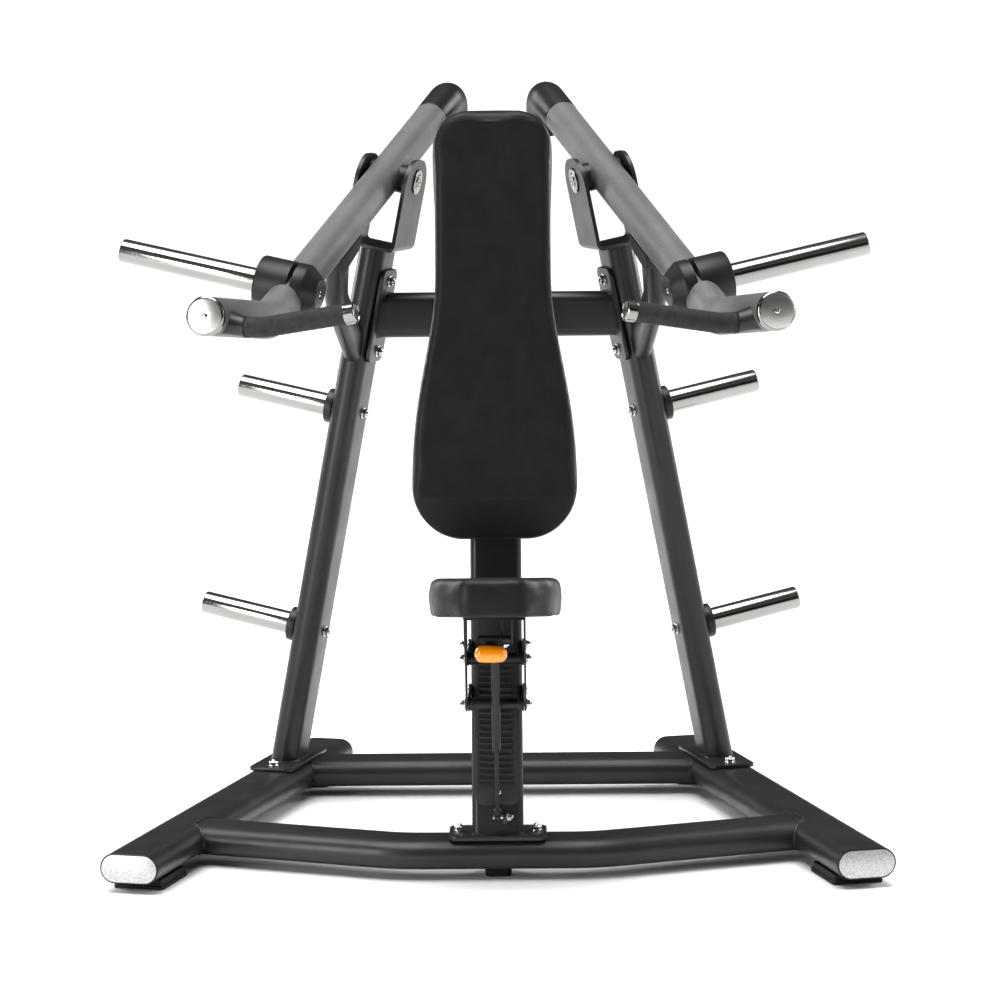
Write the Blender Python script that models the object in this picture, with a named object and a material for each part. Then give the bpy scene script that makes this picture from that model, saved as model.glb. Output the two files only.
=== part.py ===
"""Plate-loaded press machine: splayed base, two leaning uprights, two swinging arms, back pad and adjustable seat.

Axes: -Y is the front, where the sitter faces, and +Z is up, in metres. +X is right as seen from the front.
The floor is z = 0 and the machine is symmetric about x = 0. Dimensions are laid out from the front ends of
the rails; add() then moves everything so that the middle of the machine's depth is y = 0.
Most of each side lies in a leaning "side plane": s runs forward, v outward, t up the upright.
"""
import bpy
import bmesh
from math import sin, cos, tan, pi, radians, atan2
from mathutils import Matrix, Vector

# ---------------------------------------------------------------- driving dimensions
GAP = 0.0003            # working gap between parts that touch
CENTRE_Y = 0.5139       # middle of the machine's depth, which is put at y = 0

# base
TUBE_W = 0.120          # flat-oval frame tube, long way
TUBE_H = 0.060          # flat-oval frame tube, short way
FLOOR_GAP = 0.020       # underside of the base tubes above the floor
SPLAY = radians(14.6)   # rails open towards the front
RAIL_FRONT_X = 0.714
RAIL_LENGTH = 1.258
RAIL_DOME = 0.012       # rounding of the rail's rear end
CAP_T = 0.004
FOOT_W = 0.104
FRONT_FOOT_LENGTH = 0.140
FRONT_FOOT_BACK = 0.114  # foot centre behind the rail's front end
REAR_FOOT_LENGTH = 0.110
REAR_FOOT_BACK = 1.140
CENTRE_FOOT = (0.052, 0.070)
CENTRE_FOOT_Y = 0.165
FOOT_RIM = 0.002        # chamfer round the rubber feet
FRONT_BAR_Y = 0.143     # straight middle of the front crossbar
FRONT_BAR_BEND_X = 0.190
FRONT_BAR_END = (0.640, 0.316)
REAR_BAR_Y = 0.982

# uprights and what stands on them
UPRIGHT_BACK = 0.970    # upright centre behind the rail's front end
LEAN = radians(11.6)    # side plane leans inwards
RAKE = radians(1.7)     # upright leans forwards in the side plane
UPRIGHT_TOP = 1.157
FOOT_PLATE = (0.260, 0.100, 0.008)
PLATE_RIM = 0.0015      # chamfer round the welded plates
PLATE_CORNER = 0.012
BEAM_PLATE = (0.100, 0.202, 0.008)
BEAM_T = 1.0115         # height of the crossbeam joint in the side plane
BEAM_H = 0.095
BEAM_D = 0.060
BEAM_CORNER = 0.020
EAR_V = (-0.058, 0.040)  # facing sides of the inner and outer bracket ears
EAR_T = 0.008
EAR_S = (-0.012, 0.136)
EAR_TOPS = (1.356, 1.350)
EAR_CORNER = 0.058
STORAGE_T = (0.305, 0.796)
STORAGE_FLANGE_R = 0.037
STORAGE_FLANGE_T = 0.018
HORN_R = 0.0245
HORN_RIM = 0.002
STORAGE_END = 0.250

# arms
PIVOT = (0.060, 1.310)  # s, t of the arm's hinge
ARM_LIFT = 0.008        # arm centre line above the hinge
ARM_SLOPE = radians(23.9)
ARM_R = 0.037
ARM_REAR_S = -0.190
ELBOW_S = 0.690
ELBOW_R = 0.090
FRONT_S = 1.066
FRONT_SLOPE = radians(5.2)
WEIGHT_R = 0.0378
WEIGHT_S = -0.345
WEIGHT_BOTTOM_T = 1.386
WEIGHT_BEND_R = 0.050
HOUSING_R = 0.030
HOUSING_PLAY = 0.0015   # between its ends and the bracket ears
HOUSING_CUT = (-0.080, 0.080)
SHAFT_R = 0.015
DISC_R = 0.0265
DISC_T = 0.006
DISC_RIM = 0.0015
CLAMP_S = 0.575
HORN_LIFT = 0.007       # plate horn above the arm's centre line
CLAMP_R = 0.0535        # horn boss round the arm
CLAMP_NOSE_R = 0.033
CLAMP_NOSE = 0.028      # length of its tapered nose
CLAMP_RIM = 0.004
CLAMP_V = (-0.060, 0.069)
ARM_HORN_END = 0.367
CAP_LIP = 0.0005        # arm cap proud of the tube
CAP_LENGTH = 0.012
CAP_RIM = 0.003
STUB_S = 1.020
STUB_R = 0.024
STUB_DROP = 0.006
STUB_ROOT_V = -0.010
STUB_REACH = 0.064      # stub end, inboard of the arm's centre plane
GRIP_RISE = radians(9.2)
GRIP_LEVEL = 0.036      # level run before the grip starts to rise
GRIP_R = 0.0195
GRIP_BEND_R = 0.080
GRIP_LENGTH = 0.200
RING_R = 0.0205
RING_LENGTH = 0.020
STOP_W = 0.062          # arm stop tube, in the side plane and across it
STOP_H = 0.040
STOP_PATH = ((0.045, 0.918), (0.268, 1.057), (0.306, 1.142))
STOP_BEND_R = 0.070
BUMPER_S = 0.335        # where the resting arm meets its stop
BUMPER_R = 0.024
BUMPER_T = 0.028

# column, pads and seat linkage
COLUMN_LEAN = radians(10.0)
COLUMN_W = 0.101
COLUMN_D = 0.060
COLUMN_R = 0.014
COLUMN_Y = 0.141        # column centre on its base plate
COLUMN_TOP = 1.160
BASE_PLATE = (0.192, 0.110, 0.010)
GUARD = (0.089, 0.003)
GUARD_Z = (0.140, 0.525)
STRUT_W = 0.060
STRUT_H = 0.060
BOARD_T = 0.012
PAD_T = 0.070
PAD_ROUND = 0.018
PAD_Z = (0.650, 1.490)      # bottom and top of the back pad
PAD_WIDE = 0.1635           # half width low down
PAD_NARROW = 0.1193         # half width at the shoulders
PAD_TAPER_Z = (0.82, 1.17)
PAD_LOW_CORNER = (0.106, 0.101)
PAD_HIGH_CORNER = (0.073, 0.068)
BOARD_INSET = 0.016
PAD_CREASE_Z = 0.733
PAD_CREASE_SLOPE = radians(20.0)
SEAT_TILT = radians(8.0)
SEAT_TOP_Z = 0.612      # top surface at y = 0
SEAT_T = 0.072
SEAT_ROUND = 0.014
SEAT_CORNERS = (            # half outline from the front: x, y, corner radius
    (0.057, -0.205, 0.030), (0.119, -0.115, 0.110), (0.133, 0.152, 0.050))
LINK = 0.155            # between the pivots of each parallel link
LINK_Z = (0.363, 0.450)  # lower and upper link pivots
LINK_PLATE = (0.0510, 0.0545)
LINK_HALF = 0.014
LINK_TUBE_R = 0.0105
REAR_PIN_R = 0.008
FRONT_PIN_R = 0.006
SIDE_PLATE = (0.0550, 0.0590)
PIN_HEAD_R = 0.013
PIN_HEAD_T = 0.006
SEAT_BOARD_Y = (-0.095, 0.100)
SEAT_BOARD_T = 0.006
GAS_FOOT = (0.090, 0.128)    # y, z of the rod's lower eye
GAS_HEAD = (-0.045, 0.492)   # y, z of the cylinder's top
GAS_R = 0.0085
ROD_R = 0.004
GAS_MOUTH = 0.237       # cylinder mouth, distance from the head
EYE_R = 0.011
EYE_HALF = 0.006
EYE_PIN_R = 0.005
ROD_SOCKET = 0.110      # rod length inside the cylinder
FOOT_LUG = (0.0105, 0.0185)  # lug beside the rod eye, along x
HEAD_LUG = (0.0115, 0.0165)  # lug beside the cylinder's top, along x
LEVER_AXIS = (-0.070, 0.506)
LEVER_PIN_R = 0.004
LEVER_TUBE_R = 0.0075
LEVER_TUBE_HALF = 0.030
LEVER_LUG = (0.0315, 0.0355)
LEVER_ARM = (0.009, 0.0025)  # half width and half thickness
KNOB_POINT = (-0.092, 0.4805)
KNOB_X = -0.007
KNOB_HALF = 0.0145
KNOB_R = 0.0165

ROUND = 24              # facets around a tube
ARC = 8                # facets around half of a flat oval

MATERIALS = {
    "frame_charcoal": ((0.045, 0.046, 0.048), 0.3, 0.45),
    "arm_grey": ((0.16, 0.165, 0.17), 0.5, 0.45),
    "black_satin": ((0.02, 0.02, 0.021), 0.2, 0.40),
    "chrome": ((0.80, 0.81, 0.82), 1.0, 0.12),
    "brushed_cap": ((0.62, 0.62, 0.62), 0.9, 0.40),
    "rubber": ((0.018, 0.018, 0.018), 0.0, 0.75),
    "pad_leather": ((0.030, 0.031, 0.032), 0.0, 0.50),
    "guard_plastic": ((0.028, 0.028, 0.029), 0.0, 0.50),
    "orange_plastic": ((0.90, 0.38, 0.03), 0.0, 0.30),
}


# ---------------------------------------------------------------- frames
def side_frame():
    """Matrix from right-hand side-plane coordinates (s, v, t) to the world."""
    forward = Vector((sin(SPLAY), -cos(SPLAY), 0.0))
    outward = Vector((cos(SPLAY), sin(SPLAY), 0.0))
    up = Vector((0.0, 0.0, 1.0))
    v_axis = cos(LEAN) * outward + sin(LEAN) * up
    t_axis = cos(LEAN) * up - sin(LEAN) * outward
    foot = Vector((RAIL_FRONT_X, 0.0, FLOOR_GAP + TUBE_H)) - UPRIGHT_BACK * forward
    return Matrix((
        (forward.x, v_axis.x, t_axis.x, foot.x),
        (forward.y, v_axis.y, t_axis.y, foot.y),
        (forward.z, v_axis.z, t_axis.z, foot.z),
        (0.0, 0.0, 0.0, 1.0)))


def rail_frame():
    """Matrix from rail coordinates (back along the rail, outward, up from its centre) to the world."""
    turn = Matrix.Rotation(pi / 2 + SPLAY, 4, "Z")
    return Matrix.Translation((RAIL_FRONT_X, 0.0, FLOOR_GAP + TUBE_H / 2)) @ turn


SIDE = side_frame()
RAIL = rail_frame()


def arm_t(s):
    """Height of the arm's centre line in the side plane at s."""
    return PIVOT[1] + ARM_LIFT - (s - PIVOT[0]) * tan(ARM_SLOPE)


def column_y(z):
    """Column centre at height z."""
    return COLUMN_Y + (z - plate_top()) * tan(COLUMN_LEAN)


def base_top():
    return FLOOR_GAP + TUBE_H


def plate_top():
    return base_top() + GAP + BASE_PLATE[2]


# ---------------------------------------------------------------- sections and solids
def outward(bm):
    """Point every face out of the solid."""
    bmesh.ops.recalc_face_normals(bm, faces=bm.faces)
    if bm.calc_volume(signed=True) < 0:
        bmesh.ops.reverse_faces(bm, faces=bm.faces)
    return bm


def circle(radius, count=ROUND):
    return [(radius * cos(2 * pi * i / count), radius * sin(2 * pi * i / count)) for i in range(count)]


def rounded(width, height, radius, steps=5):
    points = []
    for quarter, (cx, cy) in enumerate(((1, 1), (-1, 1), (-1, -1), (1, -1))):
        for i in range(steps + 1):
            angle = (quarter + i / steps) * pi / 2
            points.append((cx * (width / 2 - radius) + radius * cos(angle),
                           cy * (height / 2 - radius) + radius * sin(angle)))
    return points


def flat_oval(width=TUBE_W, height=TUBE_H):
    radius = height / 2
    points = []
    for end in (0, 1):
        for i in range(ARC + 1):
            angle = -pi / 2 + end * pi + pi * i / ARC
            points.append(((1 - 2 * end) * (width / 2 - radius) + radius * cos(angle), radius * sin(angle)))
    return points


def loft(rings):
    """Closed solid through equal-length rings of points, capped at both ends."""
    bm = bmesh.new()
    rows = [[bm.verts.new(point) for point in ring] for ring in rings]
    count = len(rows[0])
    for low, high in zip(rows, rows[1:]):
        for i in range(count):
            j = (i + 1) % count
            bm.faces.new((low[i], low[j], high[j], high[i]))
    bm.faces.new(list(reversed(rows[0])))
    bm.faces.new(rows[-1])
    return outward(bm)


def filleted(points, radius, steps=6):
    """Path with each inner corner replaced by an arc."""
    path = [Vector(points[0])]
    for before, corner, after in zip(points, points[1:], points[2:]):
        corner = Vector(corner)
        back = (Vector(before) - corner).normalized()
        ahead = (Vector(after) - corner).normalized()
        half = back.angle(ahead) / 2
        reach = radius / tan(half)
        centre = corner + (back + ahead).normalized() * radius / sin(half)
        start = corner + back * reach - centre
        turn = pi - 2 * half
        axis = back.cross(ahead).normalized()
        for i in range(steps + 1):
            path.append(centre + Matrix.Rotation(-turn * i / steps, 3, axis) @ start)
    path.append(Vector(points[-1]))
    return path


def sweep(path, section, up, scales=None):
    """Solid swept along a path whose bends all lie square to up; section is (across, up)."""
    path = [Vector(point) for point in path]
    up = Vector(up).normalized()
    scales = scales or [1.0] * len(path)
    rings = []
    for i, point in enumerate(path):
        ways = []
        if i > 0:
            ways.append((point - path[i - 1]).normalized())
        if i < len(path) - 1:
            ways.append((path[i + 1] - point).normalized())
        tangent = sum(ways, Vector()).normalized()
        stretch = 1.0 / max(0.2, tangent.dot(ways[0]))
        across = tangent.cross(up).normalized()
        rings.append([point + across * (a * stretch * scales[i]) + up * (b * scales[i]) for a, b in section])
    return loft(rings)


def rod(start, end, radius, count=ROUND):
    start = Vector(start)
    end = Vector(end)
    way = (end - start).normalized()
    up = Vector((0, 0, 1)) if abs(way.z) < 0.9 else Vector((0, 1, 0))
    up = (up - way * up.dot(way)).normalized()
    return sweep((start, end), circle(radius, count), up)


def lathe(start, way, profile, count=ROUND):
    """Solid of revolution: profile is (distance along way, radius), ends closed flat."""
    start = Vector(start)
    way = Vector(way).normalized()
    up = Vector((0, 0, 1)) if abs(way.z) < 0.9 else Vector((0, 1, 0))
    across = way.cross(up).normalized()
    up = across.cross(way)
    rings = []
    for along, radius in profile:
        rings.append([start + way * along + across * a + up * b for a, b in circle(radius, count)])
    return loft(rings)


def prism(outline, low, high, matrix=None):
    """Outline in x, y pushed from z = low to z = high, then placed by matrix."""
    bm = loft([[Vector((x, y, z)) for x, y in outline] for z in (low, high)])
    if matrix:
        bm.transform(matrix)
    return bm


def block(low, high, matrix=None):
    outline = ((low[0], low[1]), (high[0], low[1]), (high[0], high[1]), (low[0], high[1]))
    return prism(outline, low[2], high[2], matrix)


def chamfered_block(width, length, low, high, chamfer, matrix=None):
    """Block with rounded upright corners and chamfered bottom and top rims."""
    rings = []
    for z, inset in ((low, chamfer), (low + chamfer, 0.0), (high - chamfer, 0.0), (high, chamfer)):
        section = rounded(width - 2 * inset, length - 2 * inset, min(width, length) * 0.15, 3)
        rings.append([Vector((x, y, z)) for x, y in section])
    bm = loft(rings)
    if matrix:
        bm.transform(matrix)
    return bm


def trim(bm, point, normal):
    """Keep what lies behind the plane and close the cut."""
    geometry = list(bm.verts) + list(bm.edges) + list(bm.faces)
    cut = bmesh.ops.bisect_plane(bm, geom=geometry, plane_co=point, plane_no=normal, clear_outer=True)
    rim = [item for item in cut["geom_cut"] if isinstance(item, bmesh.types.BMEdge)]
    bmesh.ops.contextual_create(bm, geom=rim)
    return outward(bm)


def combine(bm, other, operation):
    """Exact Boolean of two solids."""
    made = []
    for source in (bm, other):
        mesh = bpy.data.meshes.new("work")
        source.to_mesh(mesh)
        source.free()
        item = bpy.data.objects.new("work", mesh)
        bpy.context.scene.collection.objects.link(item)
        made.append(item)
    modifier = made[0].modifiers.new("combine", "BOOLEAN")
    modifier.operation = operation
    modifier.solver = "EXACT"
    modifier.object = made[1]
    bpy.context.view_layer.update()
    shape = made[0].evaluated_get(bpy.context.evaluated_depsgraph_get()).to_mesh()
    result = bmesh.new()
    result.from_mesh(shape)
    for item in made:
        mesh = item.data
        bpy.data.objects.remove(item)
        bpy.data.meshes.remove(mesh)
    bmesh.ops.remove_doubles(result, verts=result.verts, dist=1e-5)
    bmesh.ops.dissolve_degenerate(result, edges=result.edges, dist=1e-5)
    return result


def cut(bm, cutter):
    return combine(bm, cutter, "DIFFERENCE")


def join(bm, *others):
    for other in others:
        bm = combine(bm, other, "UNION")
    return bm


def placed(bm, matrix):
    bm.transform(matrix)
    return bm


# ---------------------------------------------------------------- objects
def material(name):
    found = bpy.data.materials.get(name)
    if found:
        return found
    colour, metallic, roughness = MATERIALS[name]
    made = bpy.data.materials.new(name)
    made.use_nodes = True
    shader = made.node_tree.nodes["Principled BSDF"]
    shader.inputs["Base Color"].default_value = (*colour, 1.0)
    shader.inputs["Metallic"].default_value = metallic
    shader.inputs["Roughness"].default_value = roughness
    return made


def add(name, bm, slot, origin=(0.0, 0.0, 0.0)):
    """One named object with its own material and its origin on its joint."""
    origin = Vector(origin)
    bm.transform(Matrix.Translation(-origin))
    outward(bm)
    mesh = bpy.data.meshes.new(name)
    bm.to_mesh(mesh)
    bm.free()
    own = material(slot).copy()
    own.name = name
    mesh.materials.append(own)
    mesh.shade_smooth()
    mesh.set_sharp_from_angle(angle=radians(32))
    item = bpy.data.objects.new(name, mesh)
    item.location = origin - Vector((0.0, CENTRE_Y, 0.0))
    bpy.context.scene.collection.objects.link(item)
    return item


def add_pair(name, bm, slot, origin=(0.0, 0.0, 0.0)):
    """The right-hand piece and its mirror image."""
    mirror = bm.copy()
    mirror.transform(Matrix.Scale(-1, 4, (1, 0, 0)))
    origin = Vector(origin)
    add("right_" + name, bm, slot, origin)
    add("left_" + name, mirror, slot, (-origin.x, origin.y, origin.z))


# ---------------------------------------------------------------- base
def rail(extra=0.0, start=0.0):
    """Flat-oval rail with a rounded rear end; extra makes the cutter used for its neighbours."""
    width = TUBE_W + 2 * extra
    height = TUBE_H + 2 * extra
    rings = []
    stations = [(start, 0.0)]
    for i in range(5):
        angle = i / 4 * radians(75)
        stations.append((RAIL_LENGTH - RAIL_DOME + RAIL_DOME * sin(angle), RAIL_DOME * (1 - cos(angle))))
    for along, inset in stations:
        section = flat_oval(width - 2 * inset, height - 2 * inset)
        rings.append([Vector((along, a, b)) for a, b in section])
    return placed(loft(rings), RAIL)


def rail_cap():
    rings = []
    for along, inset in ((-GAP, 0.0), (-GAP - CAP_T + 0.0015, 0.0), (-GAP - CAP_T, 0.0015)):
        rings.append([Vector((along, a, b)) for a, b in flat_oval(TUBE_W - 2 * inset, TUBE_H - 2 * inset)])
    return placed(loft(rings), RAIL)


def foot(length, back):
    top = FLOOR_GAP - GAP - (FLOOR_GAP + TUBE_H / 2)
    bottom = -(FLOOR_GAP + TUBE_H / 2)
    return chamfered_block(length, FOOT_W, bottom, top, FOOT_RIM, RAIL @ Matrix.Translation((back, 0, 0)))


def front_crossbar():
    z = FLOOR_GAP + TUBE_H / 2
    end_x, end_y = FRONT_BAR_END
    corners = ((-end_x, end_y, z), (-FRONT_BAR_BEND_X, FRONT_BAR_Y, z),
               (FRONT_BAR_BEND_X, FRONT_BAR_Y, z), (end_x, end_y, z))
    bar = sweep(filleted(corners, 0.25, 5), flat_oval(), (0, 0, 1))
    return cut_between_rails(bar)


def rear_crossbar():
    z = FLOOR_GAP + TUBE_H / 2
    bar = sweep(((-0.46, REAR_BAR_Y, z), (0.46, REAR_BAR_Y, z)), flat_oval(), (0, 0, 1))
    return cut_between_rails(bar)


def cut_between_rails(bar):
    """Cope both ends of a crossbar round the rails."""
    right = rail(GAP)
    left = right.copy()
    left.transform(Matrix.Scale(-1, 4, (1, 0, 0)))
    bmesh.ops.reverse_faces(left, faces=left.faces)
    bar = keep_middle(cut(bar, right))
    return keep_middle(cut(bar, left))


def keep_middle(bm):
    """Drop any offcut left beyond the rails."""
    bm.verts.ensure_lookup_table()
    start = min(bm.verts, key=lambda vert: abs(vert.co.x))
    seen = {start}
    front = [start]
    while front:
        vert = front.pop()
        for edge in vert.link_edges:
            other = edge.other_vert(vert)
            if other not in seen:
                seen.add(other)
                front.append(other)
    bmesh.ops.delete(bm, geom=[vert for vert in bm.verts if vert not in seen], context="VERTS")
    return bm


def build_base():
    add_pair("base_rail", rail(), "frame_charcoal")
    add_pair("rail_cap", rail_cap(), "brushed_cap")
    add_pair("front_foot", foot(FRONT_FOOT_LENGTH, FRONT_FOOT_BACK), "rubber")
    add_pair("rear_foot", foot(REAR_FOOT_LENGTH, REAR_FOOT_BACK), "rubber")
    add("front_crossbar", front_crossbar(), "frame_charcoal")
    add("rear_crossbar", rear_crossbar(), "frame_charcoal")
    centre = chamfered_block(*CENTRE_FOOT, 0.0, FLOOR_GAP - GAP, FOOT_RIM, Matrix.Translation((0, CENTRE_FOOT_Y, 0)))
    add("centre_foot", centre, "rubber")


# ---------------------------------------------------------------- uprights
def foot_plate():
    length, width, thick = FOOT_PLATE
    low = TUBE_H / 2 + GAP
    matrix = RAIL @ Matrix.Translation((UPRIGHT_BACK, 0, 0))
    return chamfered_block(length, width, low, low + thick, PLATE_RIM, matrix)


def raked(s, t):
    """s of the upright's centre line at height t, plus an offset s."""
    return s + t * tan(RAKE)


def upright(extra=0.0):
    """Upright tube; extra makes the cutter used for what is welded to it."""
    section = [(a, b) for a, b in flat_oval(TUBE_W + 2 * extra, TUBE_H + 2 * extra)]
    rings = []
    for t in (-0.05, UPRIGHT_TOP):
        rings.append([Vector((raked(a, t), b, t)) for a, b in section])
    tube = placed(loft(rings), SIDE)
    top = base_top() + GAP + FOOT_PLATE[2] + GAP
    return trim(tube, (0, 0, top), (0, 0, -1))


def ear(near, top):
    """Bracket ear from v = near outwards, with both top corners rounded."""
    low = UPRIGHT_TOP + GAP
    outline = [(EAR_S[0], low), (EAR_S[1], low)]
    for centre, first in ((EAR_S[1] - EAR_CORNER, 0.0), (EAR_S[0] + EAR_CORNER, pi / 2)):
        for i in range(9):
            angle = first + i / 8 * pi / 2
            outline.append((centre + EAR_CORNER * cos(angle), top - EAR_CORNER + EAR_CORNER * sin(angle)))
    return prism(outline, near, near + EAR_T, SIDE @ st_plane())


def st_plane():
    """Takes an outline in (s, t) pushed along v."""
    return Matrix(((1, 0, 0, 0), (0, 0, 1, 0), (0, 1, 0, 0), (0, 0, 0, 1)))


def bracket():
    low = UPRIGHT_TOP + GAP
    base = block((EAR_S[0], EAR_V[0] - EAR_T / 2, low), (EAR_S[1], EAR_V[1] + EAR_T / 2, low + EAR_T), SIDE)
    body = join(base, ear(EAR_V[0] - EAR_T, EAR_TOPS[0]), ear(EAR_V[1], EAR_TOPS[1]))
    return cut(body, side_rod(PIVOT, EAR_V[0] - 2 * EAR_T, EAR_V[1] + 2 * EAR_T, SHAFT_R + GAP))


def side_rod(point, low, high, radius, count=ROUND):
    """Cylinder square to the side plane through (s, t)."""
    start = SIDE @ Vector((point[0], low, point[1]))
    end = SIDE @ Vector((point[0], high, point[1]))
    return rod(start, end, radius, count)


def side_lathe(point, low, profile):
    start = SIDE @ Vector((point[0], low, point[1]))
    return lathe(start, SIDE.col[1].xyz, profile)


def shaft():
    inner = EAR_V[0] - EAR_T - GAP
    length = EAR_V[1] + EAR_T + GAP - inner
    end = length + DISC_T
    profile = ((-DISC_T, DISC_R - DISC_RIM), (-DISC_T + DISC_RIM, DISC_R), (0.0, DISC_R), (0.0, SHAFT_R),
               (length, SHAFT_R), (length, DISC_R), (end - DISC_RIM, DISC_R), (end, DISC_R - DISC_RIM))
    return side_lathe(PIVOT, inner, profile)


def beam_plate():
    width, height, thick = BEAM_PLATE
    face = -TUBE_H / 2 - GAP - thick
    centre = Matrix.Translation((raked(0, BEAM_T), 0, BEAM_T))
    return prism(rounded(width, height, PLATE_CORNER, 3), face, face + thick, SIDE @ centre @ st_plane())


def beam_centre():
    return SIDE @ Vector((raked(0, BEAM_T), -TUBE_H / 2, BEAM_T))


def crossbeam():
    centre = beam_centre()
    section = rounded(BEAM_D, BEAM_H, BEAM_CORNER, 4)
    bar = sweep(((-0.4, centre.y, centre.z), (0.4, centre.y, centre.z)), section, (0, 0, 1))
    face = SIDE @ Vector((0, -TUBE_H / 2 - 2 * GAP - BEAM_PLATE[2], 0))
    normal = SIDE.col[1].xyz
    bar = trim(bar, face, normal)
    return trim(bar, (-face.x, face.y, face.z), (-normal.x, normal.y, normal.z))


def storage_horn(t):
    start = TUBE_H / 2 + GAP
    length = STORAGE_END - start
    profile = ((0.0, STORAGE_FLANGE_R), (STORAGE_FLANGE_T - HORN_RIM, STORAGE_FLANGE_R),
               (STORAGE_FLANGE_T, STORAGE_FLANGE_R - HORN_RIM), (STORAGE_FLANGE_T, HORN_R),
               (length - HORN_RIM, HORN_R), (length, HORN_R - HORN_RIM))
    return side_lathe((raked(0, t), t), start, profile)


def arm_stop():
    path = [SIDE @ Vector((s, 0, t)) for s, t in STOP_PATH]
    tube = sweep(filleted(path, STOP_BEND_R), flat_oval(STOP_W, STOP_H), SIDE.col[1].xyz)
    return cut(tube, upright(GAP))


def bumper():
    """Rubber puck under the resting arm, square to it."""
    way = Vector((-sin(ARM_SLOPE), 0, -cos(ARM_SLOPE)))
    top = Vector((BUMPER_S, 0, arm_t(BUMPER_S))) + way * (ARM_R + 2 * GAP)
    start = SIDE @ top
    return lathe(start, SIDE.to_3x3() @ way, ((0.0, BUMPER_R - 0.003), (0.003, BUMPER_R), (BUMPER_T, BUMPER_R)), 24)


def stop_seat_cutter():
    """Space kept clear of the stop tube under the bumper."""
    way = Vector((-sin(ARM_SLOPE), 0, -cos(ARM_SLOPE)))
    start = Vector((BUMPER_S, 0, arm_t(BUMPER_S))) + way * (ARM_R - 0.02)
    return rod(SIDE @ start, SIDE @ (start + way * (0.02 + BUMPER_T + 3 * GAP)), 2 * BUMPER_R)


def build_uprights():
    add_pair("foot_plate", foot_plate(), "frame_charcoal")
    add_pair("upright", upright(), "frame_charcoal")
    add_pair("pivot_bracket", bracket(), "frame_charcoal")
    add_pair("pivot_shaft", shaft(), "chrome")
    add_pair("beam_plate", beam_plate(), "frame_charcoal")
    add("crossbeam", crossbeam(), "frame_charcoal")
    add_pair("lower_storage_horn", storage_horn(STORAGE_T[0]), "chrome")
    add_pair("upper_storage_horn", storage_horn(STORAGE_T[1]), "chrome")
    add_pair("arm_stop", cut(arm_stop(), stop_seat_cutter()), "frame_charcoal")
    add_pair("stop_bumper", bumper(), "rubber")


# ---------------------------------------------------------------- arms
def front_t(s):
    """Height of the arm's front part at s."""
    return arm_t(ELBOW_S) + (s - ELBOW_S) * tan(FRONT_SLOPE)


def arm_path(rear, front):
    points = ((rear, arm_t(rear)), (ELBOW_S, arm_t(ELBOW_S)), (front, front_t(front)))
    return filleted([SIDE @ Vector((s, 0, t)) for s, t in points], ELBOW_R)


def arm_tube():
    tube = sweep(arm_path(ARM_REAR_S, FRONT_S), circle(ARM_R), SIDE.col[1].xyz)
    return cut(tube, side_rod(PIVOT, *HOUSING_CUT, HOUSING_R + GAP))


def housing():
    body = side_rod(PIVOT, EAR_V[0] + HOUSING_PLAY, EAR_V[1] - HOUSING_PLAY, HOUSING_R)
    return cut(body, side_rod(PIVOT, *HOUSING_CUT, SHAFT_R + GAP))


def rear_weight():
    start = ARM_REAR_S - GAP
    points = ((start, arm_t(start)), (WEIGHT_S, arm_t(WEIGHT_S)), (WEIGHT_S, WEIGHT_BOTTOM_T))
    path = filleted([SIDE @ Vector((s, 0, t)) for s, t in points], WEIGHT_BEND_R, 8)
    return sweep(path, circle(WEIGHT_R), SIDE.col[1].xyz)


def arm_way():
    return SIDE.to_3x3() @ Vector((cos(ARM_SLOPE), 0, -sin(ARM_SLOPE)))


def horn_point():
    """The plate horn's axis in the side plane."""
    return CLAMP_S, arm_t(CLAMP_S) + HORN_LIFT


def clamp():
    """Boss on the horn's axis with the arm passing through it; its nose carries the clamp bolt."""
    length = CLAMP_V[1] - CLAMP_V[0]
    body = side_lathe(horn_point(), CLAMP_V[0], (
        (0.0, CLAMP_NOSE_R - CLAMP_RIM), (CLAMP_RIM, CLAMP_NOSE_R), (CLAMP_NOSE, CLAMP_R),
        (length - CLAMP_RIM, CLAMP_R), (length, CLAMP_R - CLAMP_RIM)))
    centre = SIDE @ Vector((CLAMP_S, 0, arm_t(CLAMP_S)))
    reach = arm_way() * 2 * CLAMP_R
    return cut(body, rod(centre - reach, centre + reach, ARM_R + GAP))


def arm_horn():
    start = CLAMP_V[1] + GAP
    length = ARM_HORN_END - start
    profile = ((0.0, HORN_R), (length - HORN_RIM, HORN_R), (length, HORN_R - HORN_RIM))
    return side_lathe(horn_point(), start, profile)


def front_cap():
    way = SIDE.to_3x3() @ Vector((cos(FRONT_SLOPE), 0, sin(FRONT_SLOPE)))
    start = SIDE @ Vector((FRONT_S, 0, front_t(FRONT_S))) + way * GAP
    rim = ARM_R + CAP_LIP
    return lathe(start, way, ((0.0, rim), (CAP_LENGTH - CAP_RIM, rim), (CAP_LENGTH, rim - CAP_RIM)))


def grip_path():
    """Centre line of the right handle: level out of the stub, then rising inwards."""
    start = SIDE @ Vector((STUB_S, -STUB_REACH, front_t(STUB_S) - STUB_DROP))
    inward = -Vector((cos(SPLAY), sin(SPLAY), 0.0))
    bend = start + inward * GRIP_LEVEL
    rising = (inward * cos(GRIP_RISE) + Vector((0, 0, sin(GRIP_RISE)))).normalized()
    return start, bend, bend + rising * (GRIP_LENGTH - GRIP_LEVEL), rising


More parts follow.
